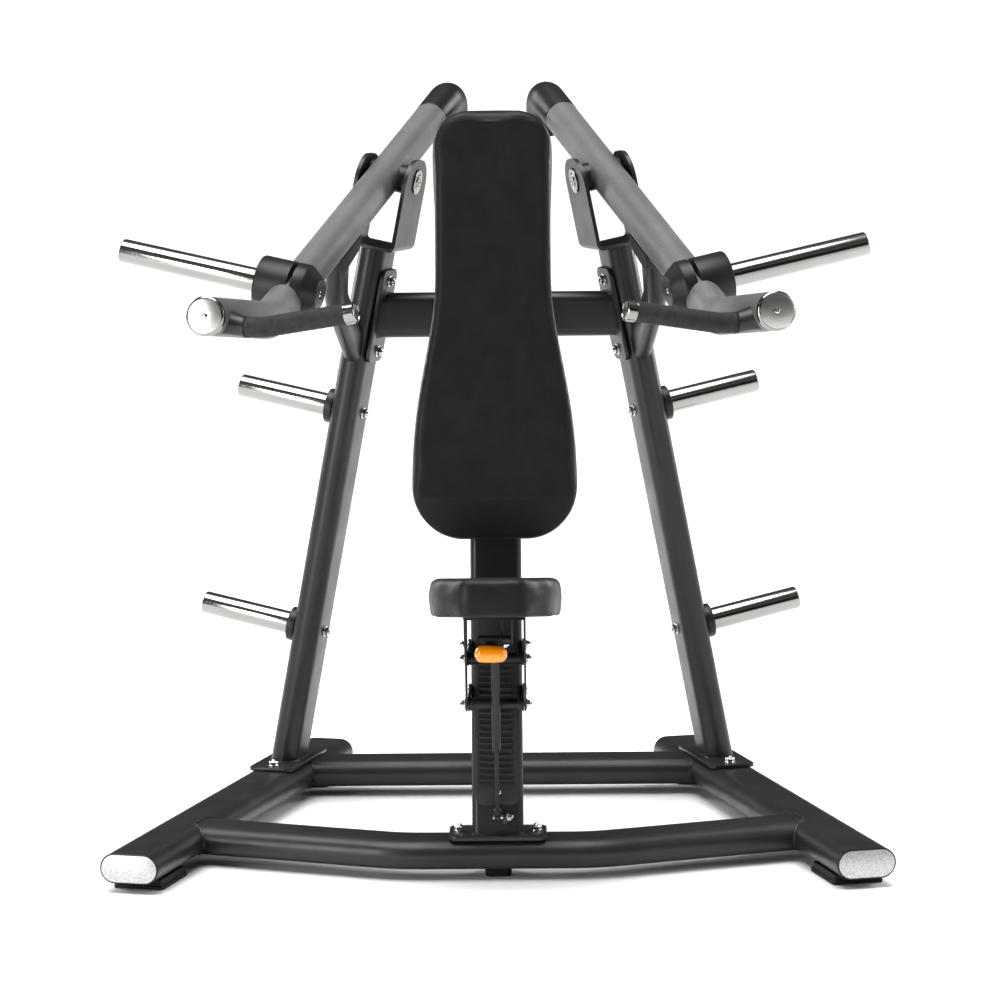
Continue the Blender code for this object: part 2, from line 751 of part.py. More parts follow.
def stub():
    """Fairing between the arm's side and the grip."""
    start, bend = grip_path()[:2]
    way = (bend - start).normalized()
    root = SIDE @ Vector((STUB_S, STUB_ROOT_V, front_t(STUB_S) - STUB_DROP / 2))
    across = way.cross(Vector((0, 0, 1))).normalized()
    rise = across.cross(way)
    rings = []
    for point, radius in ((root, STUB_R), (root.lerp(start, 0.5), STUB_R), (start, RING_R)):
        rings.append([point + across * a + rise * b for a, b in circle(radius)])
    reach = 5 * ARM_R
    before = SIDE @ Vector((STUB_S - reach, 0, front_t(STUB_S - reach)))
    after = SIDE @ Vector((STUB_S + reach, 0, front_t(STUB_S + reach)))
    return cut(loft(rings), rod(before, after, ARM_R + GAP))


def grip():
    start, bend, end, rising = grip_path()
    begin = start.lerp(bend, GAP / GRIP_LEVEL)
    path = filleted((begin, bend, end), GRIP_BEND_R, 3)
    side = rising.cross(bend - start).normalized()
    sleeve = sweep(path, circle(GRIP_R), side)
    ring = lathe(end - rising * HORN_RIM, rising, (
        (0.0, RING_R), (RING_LENGTH, RING_R), (RING_LENGTH + HORN_RIM, RING_R - HORN_RIM)))
    return join(sleeve, ring)


def build_arms():
    origin = SIDE @ Vector((PIVOT[0], 0, PIVOT[1]))
    add_pair("arm_tube", arm_tube(), "arm_grey", origin)
    add_pair("pivot_housing", housing(), "black_satin", origin)
    add_pair("rear_weight", rear_weight(), "black_satin", origin)
    add_pair("horn_clamp", clamp(), "black_satin", origin)
    add_pair("arm_horn", arm_horn(), "chrome", origin)
    add_pair("arm_cap", front_cap(), "chrome", origin)
    add_pair("handle_stub", stub(), "arm_grey", origin)
    add_pair("hand_grip", grip(), "rubber", origin)


# ---------------------------------------------------------------- column and back pad
def column_frame(y_offset=0.0):
    """Column coordinates: x across, y backwards from its centre, z along its axis from the base plate."""
    turn = Matrix.Rotation(-COLUMN_LEAN, 4, "X")
    return Matrix.Translation((0, COLUMN_Y, plate_top())) @ turn @ Matrix.Translation((0, y_offset, 0))


def along_column(z):
    """Distance up the column's axis at height z."""
    return (z - plate_top()) / cos(COLUMN_LEAN)


def cross_pin(y, z, half, radius, count=20):
    return rod((-half, y, z), (half, y, z), radius, count)


def column():
    body = prism(rounded(COLUMN_W, COLUMN_D, COLUMN_R, 4), -0.03, along_column(COLUMN_TOP), column_frame())
    body = trim(body, (0, 0, plate_top() + GAP), (0, 0, -1))
    for z in LINK_Z:
        shank = cross_pin(column_y(z), z, LINK_PLATE[1] + PIN_HEAD_T / 2, REAR_PIN_R)
        heads = []
        for side in (-1, 1):
            near = side * (LINK_PLATE[1] + 2 * GAP)
            heads.append(rod((near, column_y(z), z), (near + side * PIN_HEAD_T, column_y(z), z), PIN_HEAD_R, 20))
        body = join(body, shank, *heads)
    y, z = GAS_FOOT
    lug = block((FOOT_LUG[0], y - 0.8 * EYE_R, z - 1.1 * EYE_R), (FOOT_LUG[1], column_y(z), z + EYE_R / 2))
    pin = rod((-1.5 * EYE_HALF, y, z), (sum(FOOT_LUG) / 2, y, z), EYE_PIN_R, 20)
    return join(body, lug, pin)


def column_plate():
    width, depth, thick = BASE_PLATE
    low = base_top() + GAP
    return chamfered_block(width, depth, low, low + thick, PLATE_RIM, Matrix.Translation((0, FRONT_BAR_Y, 0)))


def guard():
    width, thick = GUARD
    low, high = (along_column(z) for z in GUARD_Z)
    outline = rounded(width, high - low, 0.010, 4)
    frame = column_frame(-COLUMN_D / 2 - GAP) @ Matrix.Translation((0, 0, (low + high) / 2))
    turn = Matrix.Rotation(pi / 2, 4, "X")
    return prism(outline, 0.0, thick, frame @ turn)


def strut():
    centre = beam_centre()
    y_low = column_y(centre.z) - COLUMN_D / 2
    y_high = centre.y - BEAM_D / 2 - GAP
    bar = sweep(((0, y_low, centre.z), (0, y_high, centre.z)), rounded(STRUT_W, STRUT_H, 0.010, 3), (0, 0, 1))
    face = column_frame(COLUMN_D / 2 + GAP)
    return trim(bar, face.translation, -face.col[1].xyz)


def pad_half(z):
    """Half width of the back pad at height z, away from its corners."""
    low, high = PAD_TAPER_Z
    share = min(1.0, max(0.0, (z - low) / (high - low)))
    return PAD_WIDE - (PAD_WIDE - PAD_NARROW) * share * share * (3 - 2 * share)


def pad_outline(inset):
    """Closed outline (x, distance up the column) of the back pad."""
    right = []
    wide, tall = PAD_LOW_CORNER
    for i in range(1, 7):
        angle = i / 6 * pi / 2
        right.append((PAD_WIDE - wide + wide * sin(angle), PAD_Z[0] + tall - tall * cos(angle)))
    for i in range(7):
        z = PAD_TAPER_Z[0] + (PAD_TAPER_Z[1] - PAD_TAPER_Z[0]) * i / 6
        right.append((pad_half(z), z))
    wide, tall = PAD_HIGH_CORNER
    for i in range(6):
        angle = i / 6 * pi / 2
        right.append((PAD_NARROW - wide + wide * cos(angle), PAD_Z[1] - tall + tall * sin(angle)))
    right = [(x, along_column(z)) for x, z in right]
    return shrink(right + [(-x, w) for x, w in reversed(right)], inset)


def shrink(points, inset):
    """Move each point of a counter-clockwise outline inwards."""
    result = []
    count = len(points)
    for i, (x, y) in enumerate(points):
        before = points[i - 1]
        after = points[(i + 1) % count]
        way = Vector((after[0] - before[0], after[1] - before[1])).normalized()
        result.append((x - way.y * inset, y + way.x * inset))
    return result


def pad_rings(outline, layers):
    """Rings at (depth forwards, inset) for a cushion lying in its own plane."""
    return [[Vector((x, -depth, w)) for x, w in outline(inset)] for depth, inset in layers]


def cushion_layers(thick, rounding):
    layers = []
    for i in range(4):
        angle = i / 3 * pi / 2
        layers.append((0.4 * rounding * (1 - cos(pi / 2 - angle)), 0.4 * rounding * (1 - sin(angle))))
    layers[0] = (0.0, 0.4 * rounding)
    for i in range(5):
        angle = i / 4 * pi / 2
        layers.append((thick - rounding + rounding * sin(angle), rounding * (1 - cos(angle))))
    return sorted(set((round(depth, 5), round(inset, 5)) for depth, inset in layers))


def back_pad():
    back = -COLUMN_D / 2 - BOARD_T - 2 * GAP
    body = placed(loft(pad_rings(pad_outline, cushion_layers(PAD_T, PAD_ROUND))), column_frame(back))
    front = column_frame(back - PAD_T) @ Vector((0, 0, along_column(PAD_CREASE_Z)))
    return trim(body, front, crease_normal())


def crease_normal():
    """Outward normal of the pad's lower front facet, facing forwards and down."""
    angle = PAD_CREASE_SLOPE - COLUMN_LEAN
    return (0.0, -cos(angle), -sin(angle))


def pad_board():
    outline = pad_outline(BOARD_INSET)
    rings = []
    for depth in (0.0, BOARD_T):
        rings.append([Vector((x, -depth, w)) for x, w in outline])
    return placed(loft(rings), column_frame(-COLUMN_D / 2 - GAP))


def build_column():
    add("seat_column", column(), "frame_charcoal")
    add("column_plate", column_plate(), "frame_charcoal")
    add("column_guard", guard(), "guard_plastic")
    add("back_strut", strut(), "frame_charcoal")
    add("pad_board", pad_board(), "black_satin")
    add("back_pad", back_pad(), "pad_leather")


# ---------------------------------------------------------------- seat and its linkage
def seat_frame(drop=0.0):
    """Seat coordinates: x across, y backwards, z up from the top surface at y = 0."""
    turn = Matrix.Rotation(-SEAT_TILT, 4, "X")
    return Matrix.Translation((0, 0, SEAT_TOP_Z)) @ turn @ Matrix.Translation((0, 0, -drop))


def round_corners(points, steps=4):
    """Counter-clockwise outline (x, y, radius) with an arc at each corner."""
    result = []
    for i, (x, y, radius) in enumerate(points):
        corner = Vector((x, y))
        back = (Vector(points[i - 1][:2]) - corner).normalized()
        ahead = (Vector(points[(i + 1) % len(points)][:2]) - corner).normalized()
        half = back.angle(ahead) / 2
        centre = corner + (back + ahead).normalized() * radius / sin(half)
        start = corner + back * radius / tan(half) - centre
        turn = pi - 2 * half
        for j in range(steps + 1):
            angle = turn * j / steps
            result.append((centre.x + start.x * cos(angle) - start.y * sin(angle),
                           centre.y + start.x * sin(angle) + start.y * cos(angle)))
    return result


def seat_outline(inset):
    right = list(SEAT_CORNERS)
    left = [(-x, y, radius) for x, y, radius in reversed(right)]
    return shrink(round_corners(right + left), inset)


def seat_pad():
    rings = []
    for depth, inset in cushion_layers(SEAT_T, SEAT_ROUND):
        rings.append([Vector((x, y, depth)) for x, y in seat_outline(inset)])
    return placed(loft(rings), seat_frame(SEAT_T))


def pivots(index):
    """Rear and front pivots (y, z) of the lower or upper link."""
    z = LINK_Z[index]
    rear = (column_y(z), z)
    return rear, (rear[0] - LINK, z)


def link_arm(side, rear, front):
    """Flat bar with round ends on one side of the column."""
    outline = []
    for centre, first in ((rear, -pi / 2), (front, pi / 2)):
        for i in range(9):
            angle = first + pi * i / 8
            outline.append((centre[0] + LINK_HALF * cos(angle), centre[1] + LINK_HALF * sin(angle)))
    low, high = sorted(side * x for x in LINK_PLATE)
    return prism(outline, low, high, yz_plane())


def yz_plane():
    """Takes an outline in (y, z) pushed along x."""
    return Matrix(((0, 0, 1, 0), (1, 0, 0, 0), (0, 1, 0, 0), (0, 0, 0, 1)))


def link(index):
    rear, front = pivots(index)
    body = join(cross_pin(*front, LINK_PLATE[1] - 0.001, LINK_TUBE_R, 24),
                link_arm(1, rear, front), link_arm(-1, rear, front))
    body = cut(body, cross_pin(*front, 0.1, FRONT_PIN_R + GAP))
    return cut(body, cross_pin(*rear, 0.1, REAR_PIN_R + GAP))


def seat_under(y):
    """Height of the seat's underside at y."""
    return SEAT_TOP_Z - SEAT_T / cos(SEAT_TILT) - y * tan(SEAT_TILT)


def side_plate(side):
    """Hanging plate from the seat board down to the lower link pivot."""
    low_front = pivots(0)[1]
    up_front = pivots(1)[1]
    top = SEAT_BOARD_T / 2 + 2 * GAP
    outline = [(low_front[0] - 0.013, low_front[1] - 0.006), (low_front[0], low_front[1] - 0.015),
               (low_front[0] + 0.013, low_front[1] - 0.006), (up_front[0] + 0.024, up_front[1] + 0.010),
               (0.080, seat_under(0.080) - top), (-0.080, seat_under(-0.080) - top),
               (-0.078, 0.520), (-0.050, 0.485), (low_front[0] - 0.028, up_front[1] - 0.010)]
    low, high = sorted(side * x for x in SIDE_PLATE)
    return prism(outline, low, high, yz_plane())


def lever_lug(side):
    y, z = LEVER_AXIS
    top = seat_under(y) - SEAT_BOARD_T / 2
    half = 2 * LEVER_PIN_R
    low, high = sorted(side * x for x in LEVER_LUG)
    return block((low, y - half, z - half), (high, y + half, top))


def carriage():
    y_low, y_high = SEAT_BOARD_Y
    board = block((-SIDE_PLATE[1], y_low, -SEAT_BOARD_T - GAP), (SIDE_PLATE[1], y_high, -GAP), seat_frame(SEAT_T))
    body = join(board, side_plate(1), side_plate(-1), lever_lug(1), lever_lug(-1))
    for index in (0, 1):
        front = pivots(index)[1]
        body = join(body, cross_pin(*front, SIDE_PLATE[1] + PIN_HEAD_T, FRONT_PIN_R))
    body = join(body, cross_pin(*LEVER_AXIS, sum(LEVER_LUG) / 2, LEVER_PIN_R))
    y, z = GAS_HEAD
    top = seat_under(y) - SEAT_BOARD_T / 2
    return join(body, block((HEAD_LUG[0], y - GAS_R, z - GAS_R), (HEAD_LUG[1], y + GAS_R, top)))


def gas_way():
    way = Vector((0, GAS_HEAD[0] - GAS_FOOT[0], GAS_HEAD[1] - GAS_FOOT[1]))
    return way.normalized(), way.length


def gas_cylinder():
    way, length = gas_way()
    start = Vector((0, *GAS_HEAD)) + way * 0.004
    long = GAS_MOUTH + 0.004
    body = lathe(start, -way, ((0.0, GAS_R - 0.003), (0.003, GAS_R), (long - 0.004, GAS_R), (long, 0.0065)), 24)
    bore = rod(start - way * 0.025, start - way * (long + 0.01), ROD_R + GAP, 16)
    return cut(body, bore)


def gas_rod():
    """Lower eye and rod; the rod runs inside the cylinder."""
    way, length = gas_way()
    foot_point = Vector((0, *GAS_FOOT))
    eye = rod((-EYE_HALF, *GAS_FOOT), (EYE_HALF, *GAS_FOOT), EYE_R, 24)
    shank = rod(foot_point + way * 0.007, foot_point + way * (length - GAS_MOUTH + ROD_SOCKET), ROD_R, 16)
    return cut(join(eye, shank), rod((-0.02, *GAS_FOOT), (0.02, *GAS_FOOT), EYE_PIN_R + GAP, 20))


def lever():
    """Release lever: hinge tube, flat arm and the capsule knob."""
    y, z = LEVER_AXIS
    tube = cross_pin(y, z, LEVER_TUBE_HALF, LEVER_TUBE_R, 20)
    way = Vector((0, KNOB_POINT[0] - y, KNOB_POINT[1] - z))
    turn = Matrix.Translation((0, y, z)) @ Matrix.Rotation(atan2(-way.y, -way.z), 4, "X").inverted()
    wide, thin = LEVER_ARM
    arm = block((KNOB_X - wide, -thin, -way.length), (KNOB_X + wide, thin, -thin), turn)
    layers = []
    for i in range(-6, 7):
        angle = i / 6 * radians(80)
        side = KNOB_HALF if i > 0 else -KNOB_HALF
        layers.append((side + KNOB_R * sin(angle) if i else 0.0, KNOB_R * cos(angle)))
    knob = lathe((KNOB_X, *KNOB_POINT), (1, 0, 0), layers, 24)
    return cut(join(tube, arm, knob), cross_pin(y, z, 0.1, LEVER_PIN_R + GAP))


def build_seat():
    lower_front = pivots(0)[1]
    add("seat_pad", seat_pad(), "pad_leather", (0, *lower_front))
    add("seat_carriage", carriage(), "black_satin", (0, *lower_front))
    add("lower_link", link(0), "black_satin", (0, *pivots(0)[0]))
    add("upper_link", link(1), "black_satin", (0, *pivots(1)[0]))
    add("gas_cylinder", gas_cylinder(), "black_satin", (0, *GAS_HEAD))
    add("gas_rod", gas_rod(), "black_satin", (0, *GAS_FOOT))
    add("release_lever", lever(), "orange_plastic", (0, *LEVER_AXIS))


def main():
    for item in list(bpy.data.objects):
        bpy.data.objects.remove(item)
    build_base()
    build_uprights()
    build_arms()
    build_column()
    build_seat()


main()
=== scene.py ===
from math import sin, cos, tan, pi, radians, atan2, hypot

import bmesh
import bpy
from mathutils import Matrix, Vector
from mathutils.bvhtree import BVHTree
from mathutils.kdtree import KDTree


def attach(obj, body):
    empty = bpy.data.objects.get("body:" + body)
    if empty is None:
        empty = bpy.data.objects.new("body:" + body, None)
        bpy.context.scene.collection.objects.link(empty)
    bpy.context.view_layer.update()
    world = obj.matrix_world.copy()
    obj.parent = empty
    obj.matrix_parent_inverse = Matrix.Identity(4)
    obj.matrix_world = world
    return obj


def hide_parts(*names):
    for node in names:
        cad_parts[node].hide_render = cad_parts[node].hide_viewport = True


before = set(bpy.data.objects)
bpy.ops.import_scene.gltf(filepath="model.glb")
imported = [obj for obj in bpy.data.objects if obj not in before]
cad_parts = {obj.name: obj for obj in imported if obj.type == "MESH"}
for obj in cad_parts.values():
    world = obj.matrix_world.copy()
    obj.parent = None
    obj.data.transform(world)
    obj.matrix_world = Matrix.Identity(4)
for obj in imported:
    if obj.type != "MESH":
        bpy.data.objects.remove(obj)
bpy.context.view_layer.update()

# ---------------------------------------------------------------- camera
CAMERA_AT = (0.0914, -7.2697, 1.5626)
CAMERA_YAW = radians(-0.6727)
CAMERA_PITCH = radians(-6.7376)
CAMERA_ROLL = radians(-0.5711)
CAMERA_LENS = 127.97
UP = Vector((0.0, 0.0, 1.0))


def add_camera():
    level = Vector((cos(CAMERA_YAW), -sin(CAMERA_YAW), 0.0))
    facing = Vector((sin(CAMERA_YAW), cos(CAMERA_YAW), 0.0))
    ahead = facing * cos(CAMERA_PITCH) + UP * sin(CAMERA_PITCH)
    above = level.cross(ahead)
    right = cos(CAMERA_ROLL) * level + sin(CAMERA_ROLL) * above
    up = cos(CAMERA_ROLL) * above - sin(CAMERA_ROLL) * level
    data = bpy.data.cameras.new("camera")
    data.lens = CAMERA_LENS
    data.sensor_width = 36.0
    camera = bpy.data.objects.new("camera", data)
    camera.matrix_world = Matrix((
        (right.x, up.x, -ahead.x, CAMERA_AT[0]),
        (right.y, up.y, -ahead.y, CAMERA_AT[1]),
        (right.z, up.z, -ahead.z, CAMERA_AT[2]),
        (0.0, 0.0, 0.0, 1.0)))
    bpy.context.scene.collection.objects.link(camera)
    bpy.context.scene.camera = camera


add_camera()

# ---------------------------------------------------------------- dimensions shared with the CAD
GAP = 0.0003
CENTRE_Y = 0.5139
TUBE_W, TUBE_H = 0.120, 0.060
FLOOR_GAP = 0.020
SPLAY = radians(14.6)
RAIL_FRONT_X = 0.714
RAIL_LENGTH = 1.258
RAIL_DOME = 0.012
CAP_T = 0.004
FRONT_BAR_Y = 0.143
FRONT_BAR_BEND_X = 0.190
FRONT_BAR_END = (0.640, 0.316)
FRONT_BAR_BEND_R = 0.25
REAR_BAR_Y = 0.982
REAR_BAR_REACH = 0.46
FOOT_W, FOOT_CORNER = 0.104, 0.008
FRONT_FOOT = (0.140, 0.114)     # length, distance behind the rail's front end
REAR_FOOT = (0.110, 1.140)
TREAD_PITCH = 0.016
TREAD_GROOVE = (0.0022, 0.0026)  # half width, depth
UPRIGHT_BACK = 0.970
LEAN = radians(11.6)
RAKE = radians(1.7)
UPRIGHT_TOP = 1.157
FOOT_PLATE = (0.260, 0.100, 0.008)
FOOT_PLATE_CORNER, FOOT_PLATE_BOLT = 0.018, 0.102
PLATE_EDGE = 0.0014
BEAM_PLATE = (0.100, 0.202, 0.008)
BEAM_PLATE_CORNER, BEAM_PLATE_BOLT = 0.022, 0.077
BEAM_T = 1.0115
BEAM_H, BEAM_D, BEAM_CORNER = 0.095, 0.060, 0.020
BEAM_REACH = 0.4
EAR_V = (-0.058, 0.040)     # facing sides of the inner and outer bracket ears
EAR_T = 0.008
EAR_S = (-0.012, 0.136)
EAR_TOPS = (1.356, 1.350)
EAR_CORNER = 0.058
EAR_FOOT_CORNER = 0.012
EAR_BEND_R = 0.016
STORAGE_T = (0.305, 0.796)
STORAGE_FLANGE = (0.037, 0.018)     # radius, thickness
HORN_R = 0.0245
STORAGE_END = 0.250
PIVOT = (0.060, 1.310)
ARM_LIFT = 0.008
ARM_SLOPE = radians(23.9)
ARM_R = 0.037
ARM_REAR_S = -0.190
ELBOW_S, ELBOW_R = 0.690, 0.090
FRONT_S = 1.066
FRONT_SLOPE = radians(5.2)
WEIGHT_R = 0.0378
WEIGHT_S = -0.345
WEIGHT_BOTTOM_T = 1.386
WEIGHT_BEND_R = 0.050
HOUSING_R = 0.030
HOUSING_PLAY = 0.0015
SHAFT_R = 0.015
DISC_R, DISC_T = 0.0265, 0.006
CLAMP_S = 0.575
HORN_LIFT = 0.007
CLAMP_R = 0.0535
CLAMP_NOSE_R = 0.033
CLAMP_V = (-0.060, 0.069)
ARM_HORN_END = 0.367
STUB_S = 1.020
STUB_DROP = 0.006
STUB_REACH = 0.064
GRIP_RISE = radians(9.2)
GRIP_LEVEL = 0.036
GRIP_R = 0.0195
GRIP_LENGTH = 0.200
RING_R, RING_LENGTH = 0.0205, 0.020
STOP_W, STOP_H = 0.062, 0.040
STOP_PATH = ((0.045, 0.918), (0.268, 1.057), (0.306, 1.142))
STOP_BEND_R = 0.070
BUMPER_S, BUMPER_T = 0.335, 0.028
CRADLE_HALF, CRADLE_CHEEK = 0.031, 0.013
COLUMN_LEAN = radians(10.0)
COLUMN_W, COLUMN_D, COLUMN_R = 0.101, 0.060, 0.014
COLUMN_Y = 0.141
COLUMN_TOP = 1.160
BASE_PLATE = (0.192, 0.110, 0.010)
GUARD_W, GUARD_T = 0.089, 0.003
GUARD_Z = (0.140, 0.525)
STRUT_SIDE, STRUT_CORNER = 0.060, 0.010
SLOT_COUNT, SLOT_PITCH = 20, 0.0120
SLOT_LOW_Z = 0.184
SLOT_X = -0.0015
LIP_ABOVE = 0.0052      # lip centre above its slot's centre
BOARD_T = 0.012
PAD_T = 0.070
PAD_Z = (0.650, 1.490)
PAD_WIDE = 0.1635
PAD_NARROW = 0.1193
PAD_TAPER_Z = (0.82, 1.17)
PAD_LOW_CORNER = (0.106, 0.101)
PAD_HIGH_CORNER = (0.073, 0.068)
CUSHION_ROUNDS = (0.007, 0.013)     # at the mounting face, at the front face
FILL_ROOM, FILL_CAP = 0.0012, 0.0045
CROWN = 0.002
BOARD_INSET = 0.016
PAD_CREASE_Z = 0.733
PAD_CREASE_SLOPE = radians(20.0)
SEAT_TILT = radians(8.0)
SEAT_TOP_Z = 0.612
SEAT_T = 0.072
SEAT_CORNERS = ((0.057, -0.205, 0.030), (0.119, -0.115, 0.110), (0.133, 0.152, 0.050))
LINK = 0.155
LINK_Z = (0.363, 0.450)
LINK_PLATE = (0.0510, 0.0545)
LINK_HALF = 0.014
LINK_TUBE_R, LINK_COLLAR_R, LINK_COLLAR = 0.0108, 0.0128, 0.0085
REAR_PIN_R = 0.008
SIDE_PLATE = (0.0550, 0.0590)
GAS_FOOT = (0.090, 0.128)
GAS_HEAD = (-0.045, 0.492)
GAS_R, ROD_R = 0.0085, 0.004
GAS_MOUTH = 0.237
ROD_SOCKET = 0.110
EYE_R = 0.011
FOOT_LUG = (0.0105, 0.0185)
EYE_PIN_R = 0.005
LEVER_AXIS = (-0.070, 0.506)
LEVER_TUBE = (0.030, 0.0075)    # half length, radius
LEVER_ARM = (0.009, 0.0025)     # half width, half thickness
KNOB_POINT = (-0.092, 0.4805)
KNOB_X = -0.007
KNOB_HALF, KNOB_R = 0.031, 0.0165

ROUND = 64      # facets around a turned piece
ARC = 20        # facets around half of a flat oval
SHIFT = Matrix.Translation((0.0, -CENTRE_Y, 0.0))


def side_frame():
    """Matrix from right-hand side-plane coordinates (s, v, t) to the layout."""
    forward = Vector((sin(SPLAY), -cos(SPLAY), 0.0))
    out = Vector((cos(SPLAY), sin(SPLAY), 0.0))
    v_axis = cos(LEAN) * out + sin(LEAN) * UP
    t_axis = cos(LEAN) * UP - sin(LEAN) * out
    foot = Vector((RAIL_FRONT_X, 0.0, FLOOR_GAP + TUBE_H)) - UPRIGHT_BACK * forward
    return Matrix((
        (forward.x, v_axis.x, t_axis.x, foot.x),
        (forward.y, v_axis.y, t_axis.y, foot.y),
        (forward.z, v_axis.z, t_axis.z, foot.z),
        (0.0, 0.0, 0.0, 1.0)))


SIDE = side_frame()
RAIL_Z = FLOOR_GAP + TUBE_H / 2
RAIL = Matrix.Translation((RAIL_FRONT_X, 0.0, RAIL_Z)) @ Matrix.Rotation(pi / 2 + SPLAY, 4, "Z")
FORWARD, OUTWARD, ALONG = (SIDE.col[i].xyz for i in range(3))
FLAT = Matrix(((1, 0, 0, 0), (0, 0, 1, 0), (0, 1, 0, 0), (0, 0, 0, 1)))      # outline (s, t) pushed along v
YZ = Matrix(((0, 0, 1, 0), (1, 0, 0, 0), (0, 1, 0, 0), (0, 0, 0, 1)))        # outline (y, z) pushed along x


def at(s, v, t):
    return SIDE @ Vector((s, v, t))


def raked(s, t):
    return s + t * tan(RAKE)


def arm_t(s):
    return PIVOT[1] + ARM_LIFT - (s - PIVOT[0]) * tan(ARM_SLOPE)


def front_t(s):
    return arm_t(ELBOW_S) + (s - ELBOW_S) * tan(FRONT_SLOPE)


def base_top():
    return FLOOR_GAP + TUBE_H


def plate_top():
    return base_top() + GAP + BASE_PLATE[2]


def column_y(z):
    return COLUMN_Y + (z - plate_top()) * tan(COLUMN_LEAN)


def along_column(z):
    return (z - plate_top()) / cos(COLUMN_LEAN)


def column_frame(y_offset=0.0):
    turn = Matrix.Rotation(-COLUMN_LEAN, 4, "X")
    return Matrix.Translation((0, COLUMN_Y, plate_top())) @ turn @ Matrix.Translation((0, y_offset, 0))


def seat_frame(drop=0.0):
    turn = Matrix.Rotation(-SEAT_TILT, 4, "X")
    return Matrix.Translation((0, 0, SEAT_TOP_Z)) @ turn @ Matrix.Translation((0, 0, -drop))


# ---------------------------------------------------------------- materials
def new_material(name):
    made = bpy.data.materials.new(name)
    made.use_nodes = True
    return made, made.node_tree, made.node_tree.nodes["Principled BSDF"]


def noise(tree, scale, detail=3.0, roughness=0.55, stretch=None):
    """Noise over the surface, in cells per metre; stretch scales the coordinates along each axis."""
    coords = tree.nodes.new("ShaderNodeTexCoord")
    source = coords.outputs["Object"]
    if stretch:
        mapping = tree.nodes.new("ShaderNodeMapping")
        mapping.inputs["Scale"].default_value = stretch
        tree.links.new(source, mapping.inputs["Vector"])
        source = mapping.outputs["Vector"]
    node = tree.nodes.new("ShaderNodeTexNoise")
    node.inputs["Scale"].default_value = scale
    node.inputs["Detail"].default_value = detail
    node.inputs["Roughness"].default_value = roughness
    tree.links.new(source, node.inputs["Vector"])
    return node.outputs["Fac"]


def ramp(tree, value, stops):
    """Colour ramp through (position, colour) stops."""
    node = tree.nodes.new("ShaderNodeValToRGB")
    elements = node.color_ramp.elements
    while len(elements) < len(stops):
        elements.new(0.5)
    for element, (place, colour) in zip(elements, stops):
        element.position = place
        element.color = (*colour, 1.0)
    tree.links.new(value, node.inputs["Fac"])
    return node.outputs["Color"]


def spread(tree, value, low, high, start=0.3, end=0.7):
    node = tree.nodes.new("ShaderNodeMapRange")
    node.inputs["From Min"].default_value = start
    node.inputs["From Max"].default_value = end
    node.inputs["To Min"].default_value = low
    node.inputs["To Max"].default_value = high
    tree.links.new(value, node.inputs["Value"])
    return node.outputs["Result"]


def bump(tree, shader, height, depth, under=None):
    """Relief of that depth in metres, on top of an earlier relief if there is one."""
    node = tree.nodes.new("ShaderNodeBump")
    node.inputs["Strength"].default_value = 1.0
    node.inputs["Distance"].default_value = depth
    tree.links.new(height, node.inputs["Height"])
    if under:
        tree.links.new(under, node.inputs["Normal"])
    tree.links.new(node.outputs["Normal"], shader.inputs["Normal"])
    return node.outputs["Normal"]


def shade(colour, factor):
    return tuple(min(1.0, channel * factor) for channel in colour)


def coated(name, colour, metallic, gloss, grain, depth, flecks=0.0, coat=0.0):
    """Powder-coated or moulded surface: slow tint and gloss changes, fine relief and pale flecks."""
    made, tree, shader = new_material(name)
    slow = noise(tree, 7.0, 4.0)
    fine = noise(tree, grain, 2.0)
    tint = ramp(tree, slow, ((0.30, shade(colour, 0.86)), (0.72, shade(colour, 1.14))))
    if flecks:
        mask = spread(tree, noise(tree, grain * 1.7, 1.0), 0.0, flecks, 0.52, 0.72)
        mix = tree.nodes.new("ShaderNodeMix")
        mix.data_type = "RGBA"
        tree.links.new(mask, mix.inputs["Factor"])
        tree.links.new(tint, mix.inputs["A"])
        mix.inputs["B"].default_value = (*shade(colour, 2.6), 1.0)
        tint = mix.outputs["Result"]
    tree.links.new(tint, shader.inputs["Base Color"])
    tree.links.new(spread(tree, noise(tree, 16.0, 3.0), *gloss), shader.inputs["Roughness"])
    shader.inputs["Metallic"].default_value = metallic
    shader.inputs["Coat Weight"].default_value = coat
    shader.inputs["Coat Roughness"].default_value = 0.25
    bump(tree, shader, fine, depth)
    return made


def plated(name, colour, gloss, stretch, depth, metallic=1.0):
    """Polished or brushed metal: slow tint changes and a streaked gloss, with relief if depth is given."""
    made, tree, shader = new_material(name)
    slow = noise(tree, 9.0, 5.0)
    streaks = noise(tree, 220.0, 2.0, stretch=stretch)
    tint = ramp(tree, slow, ((0.25, shade(colour, 0.93)), (0.75, shade(colour, 1.05))))
    tree.links.new(tint, shader.inputs["Base Color"])
    tree.links.new(spread(tree, streaks, *gloss), shader.inputs["Roughness"])
    shader.inputs["Metallic"].default_value = metallic
    if depth:
        bump(tree, shader, streaks, depth)
    return made


def sparkling(name, colour):
    """Cast and blasted metal face: bright grains among darker ones."""
    made, tree, shader = new_material(name)
    coords = tree.nodes.new("ShaderNodeTexCoord")
    cells = tree.nodes.new("ShaderNodeTexVoronoi")
    cells.inputs["Scale"].default_value = 620.0
    tree.links.new(coords.outputs["Object"], cells.inputs["Vector"])
    grains = ramp(tree, cells.outputs["Color"], ((0.15, shade(colour, 0.72)), (0.85, shade(colour, 1.16))))
    tree.links.new(grains, shader.inputs["Base Color"])
    tree.links.new(spread(tree, noise(tree, 400.0, 2.0), 0.34, 0.62), shader.inputs["Roughness"])
    shader.inputs["Metallic"].default_value = 0.85
    bump(tree, shader, cells.outputs["Distance"], 0.00012)
    return made


